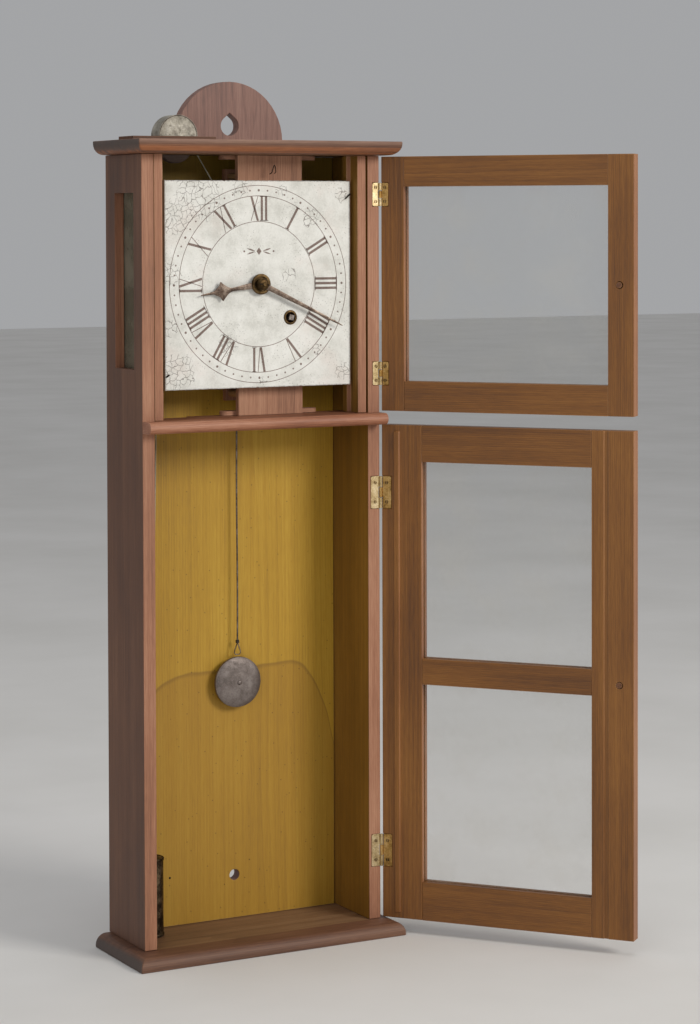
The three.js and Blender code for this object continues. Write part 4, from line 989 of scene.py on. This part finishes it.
def build_hands():
    hour_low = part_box("hour_hand")[0]
    minute_low, minute_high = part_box("minute_hand")
    hour_front = hour_low.y + 1.3 * MM
    turn, reach = hand_turn("hour_hand")
    sections = [(6 * MM, 3.0 * MM), (14 * MM, 2.7 * MM), (24 * MM, 1.9 * MM), (30 * MM, 1.6 * MM)]
    sections += smooth_run((31 * MM, 1.8 * MM), (41 * MM, 9.0 * MM), 8, 1.6)
    sections += smooth_run((42 * MM, 8.6 * MM), (50.5 * MM, 1.3 * MM), 8, 0.5)
    sections += [(56 * MM, 1.0 * MM), (reach - 0.2 * MM, 0.45 * MM)]
    made = bmesh.new()
    ridged_blade(made, sections, turn, hour_front, hour_front + 1 * MM, 0.35 * MM)
    piece("hour_hand_blade", made, 20, HAND, "hour_train", ("hour_hand",))
    made = bmesh.new()
    outer = 9.8 * MM
    depth = 2.2 * MM
    add_lathe(made, [
        (outer - 3 * MM, depth), (outer - 3 * MM, 0.5 * MM), (outer - 2.6 * MM, 0.1 * MM),
        (outer - 1.6 * MM, 0), (outer - 0.5 * MM, 0.2 * MM), (outer, 0.8 * MM), (outer, depth),
        (outer - 3 * MM, depth)], (DIAL.x, hour_low.y, DIAL.z), (0, 1, 0), 72)
    add_lathe(made, [
        (3.9 * MM, 1.4 * MM), (outer - 2.9 * MM, 1.4 * MM), (outer - 2.9 * MM, 2.3 * MM),
        (3.9 * MM, 2.3 * MM), (3.9 * MM, 1.4 * MM)],
        (DIAL.x, hour_low.y, DIAL.z), (0, 1, 0), 72)
    piece("hour_hand_collar", made, 35, DARK_BRASS, "hour_train")
    behind("hour_wheel_and_pipe", "hour_hand", hour_front + 1.1 * MM, WORKS_BRASS,
           "hour_train")

    turn, reach = hand_turn("minute_hand")
    made = bmesh.new()
    ridged_blade(
        made, [(2 * MM, 2.6 * MM), (20 * MM, 2.35 * MM), (60 * MM, 1.5 * MM), (88 * MM, 0.8 * MM),
               (reach - 0.1 * MM, 0.35 * MM)],
        turn, minute_low.y, minute_high.y, 0.3 * MM)
    piece("minute_hand_blade", made, 20, HAND, "center_train", ("minute_hand",))
    build_boss(minute_high.y)


def build_boss(back):
    """The boss that clamps the minute hand, with the arbor's end and a split pin through it."""
    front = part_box("center_arbor")[0].y
    made = bmesh.new()
    depth = back - front
    add_lathe(made, [
        (0, 0), (1.6 * MM, 0), (2.1 * MM, 0.5 * MM), (2.1 * MM, 1.7 * MM), (3.4 * MM, 1.9 * MM),
        (4.6 * MM, 2.1 * MM), (5.4 * MM, 2.9 * MM), (5.6 * MM, 3.8 * MM), (4.7 * MM, 4.4 * MM),
        (4.7 * MM, 4.8 * MM), (5.7 * MM, 5.2 * MM), (5.8 * MM, depth), (0, depth)],
        (DIAL.x, front, DIAL.z), (0, 1, 0), 64)
    piece("hand_boss", made, 40, DARK_BRASS, "center_train", ("center_arbor",))
    made = bmesh.new()
    level = front + 1.1 * MM
    pin = [(-5.2, 0.5), (-3, 0.15), (0, 0), (3, -0.2), (4.6, -0.9), (5.4, -2.0)]
    add_tube(made, [(DIAL.x + x * MM, level, DIAL.z + z * MM) for x, z in pin],
             lambda share: (0.55 - 0.2 * share) * MM, 8)
    piece("hand_pin", made, 35, IRON, "center_train")
    behind("center_arbor_and_wheels", "center_arbor", back - 0.1 * MM, WORKS_BRASS,
           "center_train")


WINDING_SQUARE = 5.1 * MM
WINDING_SQUARE_LONG = 9 * MM


def build_winding_hole():
    """Brass grommet round the winding hole, and the square end of the winding arbor in it."""
    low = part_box("winding_collar")[0]
    made = bmesh.new()
    add_lathe(made, [
        (4.8 * MM, 4.9 * MM), (4.8 * MM, 0.5 * MM), (5.1 * MM, 0.1 * MM), (5.7 * MM, 0),
        (6.4 * MM, 0.1 * MM), (6.9 * MM, 0.5 * MM), (7.0 * MM, 0.6 * MM), (6 * MM, 0.75 * MM),
        (6 * MM, 4.9 * MM), (4.8 * MM, 4.9 * MM)], (WINDING.x, low.y, WINDING.z), (0, 1, 0), 64)
    piece("winding_grommet", made, 35, DARK_BRASS, "case", ("winding_collar",))
    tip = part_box("winding_drum")[0].y
    half = WINDING_SQUARE / 2
    corners = [(-half, -half), (half, -half), (half, half), (-half, half)]
    mesh = plate("winding_square", [corners], tip - 0.05 * MM, WINDING_SQUARE_LONG, 0.15 * MM,
                 math.radians(12), (WINDING.x, WINDING.z))
    finished("winding_square", mesh, STEEL, "drum_body")


# ---------------------------------------------------------------- hinges

LEAF_T = 0.9 * MM
BARREL_R = 1.7 * MM
KNUCKLE_CLEAR = BARREL_R + 0.3 * MM
SCREW_R = 1.75 * MM


def rounded_leaf(width, height, corner, knuckles):
    """The outline of a leaf with round far corners, cut back where it has no knuckle of its own."""
    half = height / 2
    points = [(KNUCKLE_CLEAR, -half)]
    points += arc(corner, -90, 0, 6, width - corner, -half + corner)
    points += arc(corner, 0, 90, 6, width - corner, half - corner)
    points.append((KNUCKLE_CLEAR, half))
    for low, high in reversed(knuckles):
        points += [(KNUCKLE_CLEAR, high), (0, high), (0, low), (KNUCKLE_CLEAR, low)]
    return [point for k, point in enumerate(points) if point != points[k - 1]]


def leaf_back(node, axis, along, facing):
    """How far the back of a leaf lies from the hinge line, measured out along its face."""
    return min(
        facing.dot(v.co - axis) for v in frame["nodes"][node].data.vertices
        if along.dot(v.co - axis) > KNUCKLE_CLEAR)


def leaf_matrix(axis_point, along, facing):
    """Carries plate space (X across, -Y out of the face) to a leaf's place."""
    across = Vector(along)
    out = Vector(facing)
    return Matrix.Translation(axis_point) @ Matrix((
        (across.x, -out.x, 0, 0), (across.y, -out.y, 0, 0), (0, 0, 1, 0), (0, 0, 0, 1)))


def hinge_leaf(name, node, body, along, facing, knuckles, width, height, level, axis):
    """One leaf with its knuckles, countersunk screws and their slots."""
    corner = min(1.6 * MM, width / 4)
    outline = rounded_leaf(width, height, corner, knuckles)
    mesh = plate(name, [outline], -LEAF_T, LEAF_T, 0.12 * MM)
    seat = axis + facing * leaf_back(node, axis, along, facing)
    place = leaf_matrix(Vector((seat.x, seat.y, level)), along, facing)
    mesh.transform(place)
    made = bmesh.new()
    made.from_mesh(mesh)
    bpy.data.meshes.remove(mesh)
    for low, high in knuckles:
        add_lathe(made, [
            (0, low + 0.05 * MM), (BARREL_R - 0.2 * MM, low + 0.05 * MM),
            (BARREL_R, low + 0.25 * MM), (BARREL_R, high - 0.25 * MM),
            (BARREL_R - 0.2 * MM, high - 0.05 * MM), (0, high - 0.05 * MM)],
            (axis.x, axis.y, level), (0, 0, 1), 28)
    brass = LEAF_BRASS["case" if body == "case" else "door"]
    piece(name, made, 30, brass, body, (node,))
    for index, share in enumerate((-0.3, 0.3)):
        screw(f"{name}_screw_{index + 1}", place, width * 0.56, share * height, body,
              0.5 + 1.9 * index + 7 * share)


def screw(name, place, across, up, body, slot_turn):
    """A flat screw head with a slot, set in a leaf. place carries leaf space to the row frame."""
    made = bmesh.new()
    slot_half = 0.22 * MM
    slot_reach = math.sqrt(SCREW_R ** 2 - slot_half ** 2)
    opening = math.degrees(math.atan2(slot_half, slot_reach))
    for start in (0, 180):
        half_disc = arc(SCREW_R, start + opening, start + 180 - opening, 18)
        mesh = plate(name, [half_disc], -LEAF_T - 0.03 * MM, 0.3 * MM, 0.05 * MM, slot_turn,
                     (across, up))
        made.from_mesh(mesh)
        bpy.data.meshes.remove(mesh)
    mesh = from_bmesh(name, made)
    mesh.transform(place)
    finished(name, mesh, SCREW_BRASS, body)


SCREW_BRASS = metal(
    "screw_brass", ((70, 54, 34), (104, 82, 52), (138, 112, 74)), 0.46, (44, 34, 24), 0.7)


def build_hinges():
    for door in ("upper_door", "lower_door"):
        axis = Vector(joints[f"{door}_hinge"]["pos_m"])
        for end in ("top", "bottom"):
            stem = f"{door}_{end}_hinge"
            low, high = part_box(f"{stem}_case_leaf")
            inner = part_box(f"{stem}_door_leaf")
            level = (low.z + high.z) / 2
            height = inner[1].z - inner[0].z
            width = axis.x - low.x
            third = height / 3
            case_knuckles = [(-height / 2, -third / 2), (third / 2, height / 2)]
            door_knuckles = [(-third / 2 + 0.3 * MM, third / 2 - 0.3 * MM)]
            hinge_leaf(f"{stem}_case", f"{stem}_case_leaf", "case", Vector((-1, 0, 0)),
                       Vector((0, -1, 0)), case_knuckles, width, height, level, axis)
            hinge_leaf(f"{stem}_door", f"{stem}_door_leaf", door, DOOR_ALONG, DOOR_FACING,
                       door_knuckles, width, height, level, axis)


# ---------------------------------------------------------------- door knobs

KNOB_PROFILE = (
    (0, 0), (2.9, 0), (2.9, 5.2), (3.3, 5.8), (3.1, 6.6), (4.3, 7.6), (6.2, 9.0), (7.3, 10.8),
    (7.45, 12.4), (6.8, 14.4), (5.2, 16.0), (3.0, 16.9), (1.2, 17.1), (0, 17.15),
)


def build_knobs():
    """Turned wooden knobs on the outer faces of the doors."""
    material = plain_wood(
        "knob_wood", ((52, 28, 14), (98, 58, 30), (140, 92, 54)), tuple(DOOR_FACING),
        (0.01, 0.02, 0), 2 * MM, 0.4, (170, 122, 78))
    for door in ("upper_door", "lower_door"):
        low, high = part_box(f"{door}_knob")
        obj = frame["nodes"][f"{door}_knob"]
        outward = -DOOR_FACING
        spread = [outward.dot(v.co) for v in obj.data.vertices]
        middle = (low + high) / 2
        scale = (max(spread) - min(spread)) / (KNOB_PROFILE[-1][1] * MM)
        foot = middle - outward * (max(spread) - min(spread)) / 2
        profile = [(min(r, 7.45) * MM, a * MM * scale) for r, a in KNOB_PROFILE]
        made = bmesh.new()
        add_lathe(made, profile, foot, outward, 48)
        name = f"{door}_turned_knob"
        piece(name, made, 50, material, door, (f"{door}_knob",))


# ---------------------------------------------------------------- hood over the pulley


def build_hood():
    """A crumpled half drum of thin tin with a bright rim."""
    low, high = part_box("pulley_hood")
    middle = Vector(((low.x + high.x) / 2, 0, low.z))
    radius = (high.x - low.x) / 2
    wall = 0.5 * MM
    made = bmesh.new()
    columns, rows = 40, 14

    def crumple(x, z, strength):
        """How far the foil stands off a flat face at a place."""
        creases = abs(noise.noise(Vector((x * 95, 3.0, z * 95)))) * 1.5
        creases += abs(noise.noise(Vector((x * 240, 8.0, z * 240)))) * 0.6
        return strength * creases * MM

    def rim_point(angle, depth, reach):
        x = middle.x + reach * math.cos(angle)
        z = middle.z + reach * math.sin(angle)
        return Vector((x, depth, z))

    for front, sign in ((low.y, 1), (high.y, -1)):
        grid = []
        for row in range(rows + 1):
            reach = (radius - 0.2 * MM) * row / rows
            ring = []
            for column in range(columns + 1):
                angle = math.pi * column / columns
                flat = rim_point(angle, front, reach)
                calm = 1 - (row / rows) ** 6
                push = crumple(flat.x - middle.x, flat.z - middle.z, calm) + 0.1 * MM
                ring.append(made.verts.new(flat + Vector((0, sign * push, 0))))
            grid.append(ring)
        skin(made, grid)
        inner = []
        for ring in grid:
            inner.append([made.verts.new(v.co + Vector((0, sign * wall, 0))) for v in ring])
        skin(made, inner)
        wall_between(made, border(grid), border(inner))
    shell = []
    steps = 12
    for row in range(steps + 1):
        depth = low.y + (high.y - low.y) * row / steps
        ring = []
        for column in range(columns + 1):
            angle = math.pi * column / columns
            dent = abs(noise.noise(Vector((angle * 5, depth * 180, 1.0)))) * 0.7 * MM
            calm = math.sin(math.pi * row / steps) ** 0.5 if 0 < row < steps else 0
            ring.append(made.verts.new(rim_point(angle, depth, radius - dent * calm)))
        shell.append(ring)
    skin(made, shell)
    inner = []
    for row, ring in enumerate(shell):
        inner.append([
            made.verts.new(Vector((
                middle.x + (v.co.x - middle.x) * (1 - wall / radius), v.co.y,
                middle.z + (v.co.z - middle.z) * (1 - wall / radius)))) for v in ring])
    skin(made, inner)
    wall_between(made, border(shell), border(inner))
    piece("tin_hood", made, 25, TIN, "case", ("pulley_hood",))
    made = bmesh.new()
    lip = [rim_point(math.pi * k / 60, low.y + 0.25 * MM, radius - 0.6 * MM) for k in range(61)]
    add_tube(made, lip, 0.45 * MM, 10)
    piece("tin_hood_rim", made, 35, DULL_TIN, "case")


def skin(made, grid):
    """Faces between neighbouring rows of vertices."""
    for low, high in zip(grid, grid[1:]):
        for k in range(len(low) - 1):
            corners = (low[k], low[k + 1], high[k + 1], high[k])
            if (low[k].co - low[k + 1].co).length > 1e-9:
                made.faces.new(corners)
            else:
                made.faces.new((low[k], high[k + 1], high[k]))


def border(grid):
    """The vertices round the edge of a grid, in order."""
    right = [row[-1] for row in grid[1:-1]]
    left = [row[0] for row in grid[1:-1]]
    return grid[0] + right + grid[-1][::-1] + left[::-1]


def wall_between(made, outer, inner):
    """A closed band between two matching loops."""
    count = len(outer)
    for k in range(count):
        n = (k + 1) % count
        if (outer[k].co - outer[n].co).length > 1e-9:
            made.faces.new((outer[k], outer[n], inner[n], inner[k]))


# ---------------------------------------------------------------- pendulum


def build_pendulum():
    low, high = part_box("pendulum_bob")
    radius = (high.x - low.x) / 2
    place = Vector(((low.x + high.x) / 2, low.y, (low.z + high.z) / 2))
    depth = (high.y - low.y) / MM
    reach = radius / MM
    profile = [(0, 0), (1.0, 0.05), (1.9, 0.35), (2.2, 0.8), (2.2, 1.3)]
    for k in range(1, 15):
        share = k / 14
        fall = 1.2 + 3.8 * (1 - math.sqrt(1 - (0.985 * share) ** 2))
        ripple = 0.10 * math.sin(share * 40) * (1 - share)
        dish = 0.22 * math.exp(-((share - 0.36) / 0.06) ** 2)
        profile.append((2.2 + (reach - 2.4) * share, fall + ripple + dish))
    profile += [(reach, 5.6), (reach, 6.8), (reach - 0.6, 7.4), (reach * 0.8, 9.4), (0, depth)]

    def dented(point):
        flat = Vector((point.x, point.y, 0))
        push = noise.noise(flat * 90) * 0.35 * MM
        edge = min(flat.length / radius, 1)
        shrink = 1 - 0.012 * abs(noise.noise(flat * 60)) * edge
        return Vector((point.x * shrink, point.y * shrink, point.z + push * (1 - edge)))

    made = bmesh.new()
    add_lathe(made, [(r * MM, max(a, 0.0) * MM) for r, a in profile], place, (0, 1, 0), 96, dented)
    piece("bob_disc", made, 40, PEWTER, "pendulum", ("pendulum_bob",))

    rod_low, rod_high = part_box("pendulum_rod")
    x = (rod_low.x + rod_high.x) / 2
    y = (rod_low.y + rod_high.y) / 2
    eye = rod_high.z - 3.4 * MM
    hook = rod_low.z + 0.9 * MM
    neck = hook + 11 * MM
    made = bmesh.new()
    bar = [(x + 0.25 * MM * math.sin(k * 0.55), y, neck + (eye - 3 * MM - neck) * k / 24)
           for k in range(25)]
    add_tube(made, bar, 0.8 * MM, 14)
    ring = [(x + 2.55 * MM * math.cos(a), y, eye + 2.55 * MM * math.sin(a))
            for a in (2 * math.pi * k / 28 for k in range(28))]
    add_tube(made, ring, 0.8 * MM, 10, closed=True)
    loop = [(x + dx * MM, y + dy * MM, hook + dz * MM) for dx, dy, dz in (
        (-0.5, -0.9, 12.5), (-0.9, -0.9, 10.5), (-1.4, -0.4, 8.6), (-2.2, 0, 6.2), (-3.0, 0, 3.6),
        (-3.2, 0, 1.6), (-2.4, 0, 0.3), (-0.8, 0, 0.0), (0.8, 0, 0.0), (2.4, 0, 0.3),
        (3.2, 0, 1.6), (3.0, 0, 3.6), (2.2, 0, 6.2), (1.4, 0.4, 8.6), (0.9, 0.9, 10.5),
        (0.5, 0.9, 12.5))]
    add_tube(made, loop, 0.5 * MM, 10)
    for turn in range(3):
        wrap = [(x + 1.5 * MM * math.cos(a), y + 1.5 * MM * math.sin(a),
                 neck + (0.6 + 1.05 * turn) * MM)
                for a in (2 * math.pi * k / 24 for k in range(24))]
        add_tube(made, wrap, 0.42 * MM, 8, closed=True)
    piece("pendulum_wire", made, 35, STEEL, "pendulum", ("pendulum_rod",))


# ---------------------------------------------------------------- weight and cords


def build_weight():
    """A tin can with rolled rims and a wire ring on its lid."""
    low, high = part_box("weight")
    x, y = (low.x + high.x) / 2, (low.y + high.y) / 2
    r = (high.x - low.x) / 2 / MM
    can = 74.0

    def dented(point):
        turn = math.atan2(point.y, point.x)
        dent = 0.35 * MM * abs(noise.noise(Vector((turn * 1.3, point.z * 60, 4))))
        middle = math.sin(math.pi * min(max(point.z / (can * MM), 0), 1)) ** 0.5
        size = 1 - dent * middle / (r * MM)
        return Vector((point.x * size, point.y * size, point.z))

    profile = [(0, 0.6), (r - 1.4, 0.6), (r - 1.1, 0.1), (r - 0.5, 0), (r, 0.5), (r, 2.0),
               (r - 0.25, 2.5), (r - 0.7, 2.8)]
    profile += [(r - 0.7, 2.8 + (can - 5.6) * k / 24) for k in range(1, 25)]
    profile += [(r - 0.25, can - 2.5), (r, can - 2), (r, can - 0.5), (r - 0.5, can),
                (r - 1.1, can - 0.1), (r - 1.4, can - 0.6), (6, can + 0.2), (2.2, can + 0.9),
                (1.6, can + 1.6), (0.8, can + 2.2), (0, can + 2.3)]
    made = bmesh.new()
    add_lathe(made, [(a * MM, b * MM) for a, b in profile], (x, y, low.z), (0, 0, 1), 64, dented)
    piece("weight_tin_can", made, 40, CAN, "weight_body", ("weight",))
    made = bmesh.new()
    top = high.z - 0.75 * MM
    rise = low.z + (can + 0.8) * MM
    middle = (top + rise) / 2
    half = (top - rise) / 2
    ring = [(x + 3.0 * MM * math.cos(a), y, middle + half * math.sin(a))
            for a in (2 * math.pi * k / 32 for k in range(32))]
    add_tube(made, ring, 0.7 * MM, 10, closed=True)
    piece("weight_ring", made, 35, STEEL, "weight_body")


CAN = metal("weight_can", ((34, 28, 22), (62, 52, 40), (120, 104, 82)), 0.45, (30, 22, 16), 0.6)


STRAND_R = 0.36 * MM
STRAND_ORBIT = 0.34 * MM
TURNS_PER_METRE = 210


def twisted(made, route):
    """Adds a cord of three strands along a route of points."""
    lengths = [0.0]
    for a, b in zip(route, route[1:]):
        lengths.append(lengths[-1] + (b - a).length)
    total = lengths[-1]
    count = max(8, int(total * TURNS_PER_METRE * 7))
    for strand in range(3):
        path = []
        segment = 0
        for k in range(count + 1):
            at = total * k / count
            while segment < len(route) - 2 and lengths[segment + 1] < at:
                segment += 1
            span = lengths[segment + 1] - lengths[segment]
            share = (at - lengths[segment]) / span
            point = route[segment].lerp(route[segment + 1], share)
            ahead = (route[segment + 1] - route[segment]).normalized()
            side = Vector((0, 1, 0)).cross(ahead).normalized()
            other = ahead.cross(side)
            angle = 2 * math.pi * (at * TURNS_PER_METRE + strand / 3)
            path.append(point + STRAND_ORBIT * (side * math.cos(angle) + other * math.sin(angle)))
        add_tube(made, path, STRAND_R, 6)


def build_cords():
    pulley = centre("pulley")
    drum = centre("winding_drum")
    cord_low, cord_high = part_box("drum_cord")
    run = cord_high.z - pulley.z - (cord_high.y - cord_low.y) / 2
    y = (cord_low.y + cord_high.y) / 2
    across = math.atan2(pulley.z - drum.z, pulley.x - drum.x) - math.pi / 2
    route = []
    for k in range(25):
        angle = math.pi + (across - math.pi) * k / 24
        route.append(Vector((pulley.x + run * math.cos(angle), y, pulley.z + run * math.sin(angle))))
    leave = Vector((run * math.cos(across), 0, run * math.sin(across)))
    route.append(Vector((drum.x, y, drum.z)) + leave)
    wrap = drum_wrap(drum, y, run, across)
    made = bmesh.new()
    twisted(made, route + wrap)
    piece("twisted_drum_cord", made, 60, CORD, "case", ("drum_cord",))

    top = Vector((pulley.x - run, y, pulley.z))
    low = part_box("weight_cord")[0]
    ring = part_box("weight")
    foot = Vector(((ring[0].x + ring[1].x) / 2, (ring[0].y + ring[1].y) / 2, low.z - 0.4 * MM))
    made = bmesh.new()
    steps = 60
    line = [foot.lerp(top, k / steps) for k in range(steps + 1)]
    twisted(made, line)
    knot_level = foot + (top - foot).normalized() * 2.6 * MM
    for turn in range(2):
        loop = [knot_level + Vector((
            1.15 * MM * math.cos(a), 1.15 * MM * math.sin(a),
            (0.9 * turn - 0.4) * MM + 0.35 * MM * math.sin(a + turn))) for a in (
            2 * math.pi * k / 18 for k in range(18))]
        add_tube(made, loop, 0.5 * MM, 7, closed=True)
    hanging = piece("twisted_weight_cord", made, 60, CORD, "case", ("weight_cord",))
    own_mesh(hanging)


def drum_wrap(drum, y, run, across):
    """The cord's last turn, half round the drum."""
    points = []
    for k in range(1, 25):
        angle = across - math.pi * k / 24
        points.append(Vector((
            drum.x + run * math.cos(angle), y - 0.04 * MM * k, drum.z + run * math.sin(angle))))
    return points


# ---------------------------------------------------------------- small fixings


def build_fixings():
    """The wire staple over the movement, the dial's pins and the back board's nails."""
    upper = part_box("front_plate")
    made = bmesh.new()
    x, z = upper[0].x + 33 * MM, top_low.z - 9 * MM
    front = upper[0].y
    staple = [
        (x - 3.2 * MM, front + 1.5 * MM, z - 9 * MM),
        (x - 2.6 * MM, front - 1.2 * MM, z - 8 * MM)]
    staple += [(x - 2.4 * MM + 0.35 * MM * k, front - 1.6 * MM, z - 7.4 * MM + 1.05 * MM * k)
               for k in range(7)]
    staple += [
        (x + 0.3 * MM, front - 1.6 * MM, z - 0.6 * MM),
        (x + 1.0 * MM, front - 1.6 * MM, z - 1.6 * MM)]
    staple += [(x + 1.2 * MM + 0.12 * MM * k, front - 1.6 * MM, z - 2.8 * MM - 1.1 * MM * k)
               for k in range(5)]
    staple += [(x + 1.9 * MM, front + 1.5 * MM, z - 8.4 * MM)]
    add_tube(made, staple, 0.45 * MM, 8)
    piece("wire_staple", made, 35, IRON, "case")

    made = bmesh.new()
    places = (
        (DIAL.x + 95 * MM, DIAL.z + 83 * MM, 7.5),
        (DIAL.x - 95.5 * MM, DIAL.z - 84 * MM, 3.5))
    for across, up, long in places:
        pin = [(across + dx * MM * long / 7.5, DIAL.y + dy * MM, up + dz * MM * long / 7.5)
               for dx, dy, dz in ((-2.6, 1.2, -2.4), (-2.2, -0.9, -2.2), (-0.6, -1.2, -0.6),
                                  (1.4, -1.3, 1.2), (2.8, -1.2, 2.2))]
        add_tube(made, pin, lambda share: (0.55 + 0.25 * share) * MM, 8)
    piece("dial_pins", made, 35, IRON, "case")

    made = bmesh.new()
    for x, z, size in NAILS:
        add_lathe(made, [(0, -0.5 * MM), (size * 0.55, -0.45 * MM), (size * 0.9, -0.2 * MM),
                         (size, 0.1 * MM), (size * 0.4, 0.4 * MM), (0, 0.4 * MM)],
                  (x * MM, back_low.y, base_high.z + z * MM), (0, 1, 0), 20)
    piece("back_board_nails", made, 35, IRON, "case")


# Small nails and old tack holes of the back board: across, above the base board, radius, in mm.
NAILS = ((-67, 47, 1.1 * MM), (-9, 34, 0.45 * MM), (13, 38, 0.4 * MM), (18, 55, 0.5 * MM))

# ---------------------------------------------------------------- stage, lights and camera


def build_stage():
    """A wide pale floor under the clock."""
    half = 14.0
    mesh = bpy.data.meshes.new("pale_floor")
    level = cad_low.z
    mesh.from_pydata(
        [(-half, -half, level), (half, -half, level), (half, half, level), (-half, half, level)],
        [], [(0, 1, 2, 3)])
    floor = bpy.data.objects.new("pale_floor", mesh)
    bpy.context.scene.collection.objects.link(floor)
    paint = Paint("floor_paint")
    cloudy = paint.noise(paint.place, 3, 4.0)
    paint.set(
        Base_Color=paint.ramp(cloudy, (0.3, srgb(222, 220, 216)), (0.7, srgb(232, 230, 227))),
        Roughness=0.8)
    mesh.materials.append(paint.material)


def area_light(name, place, target, size, power, colour=(1, 1, 1)):
    data = bpy.data.lights.new(name, "AREA")
    data.shape = "RECTANGLE"
    data.size, data.size_y = size
    data.energy = power
    data.color = colour
    light = bpy.data.objects.new(name, data)
    light.location = place
    light.rotation_euler = (Vector(target) - Vector(place)).to_track_quat("-Z", "Y").to_euler()
    bpy.context.scene.collection.objects.link(light)


def build_lights():
    middle = (0.03, -0.06, -0.38)
    area_light("key", (1.5, -2.9, 1.0), middle, (1.1, 1.1), 62, (1.0, 0.97, 0.92))
    area_light("fill", (-2.4, -2.2, 0.5), middle, (2.2, 2.2), 16, (0.93, 0.96, 1.0))
    area_light("top", (0.0, -0.3, 2.6), middle, (2.4, 2.4), 16)
    world = bpy.data.worlds.new("studio")
    bpy.context.scene.world = world
    world.use_nodes = True
    back = world.node_tree.nodes["Background"]
    back.inputs["Color"].default_value = (0.82, 0.83, 0.85, 1)
    back.inputs["Strength"].default_value = 0.45


def build_camera():
    data = bpy.data.cameras.new("view")
    data.sensor_width = 36
    data.lens = 95.4
    data.shift_y = -0.2101
    data.clip_end = 60
    camera = bpy.data.objects.new("view", data)
    camera.location = (-1.15405, -2.36005, -0.09177)
    camera.rotation_euler = (
        math.radians(90 - 1.6), math.radians(0.158), -math.radians(28.7024))
    bpy.context.scene.collection.objects.link(camera)
    bpy.context.scene.camera = camera


# ---------------------------------------------------------------- run

dress_case()
dress_doors()
dress_works()
build_dial()
build_hands()
build_winding_hole()
build_hinges()
build_knobs()
build_hood()
build_pendulum()
build_weight()
build_cords()
build_fixings()
build_stage()
build_lights()
build_camera()

bpy.context.scene.view_settings.view_transform = "Standard"
bpy.context.view_layer.update()
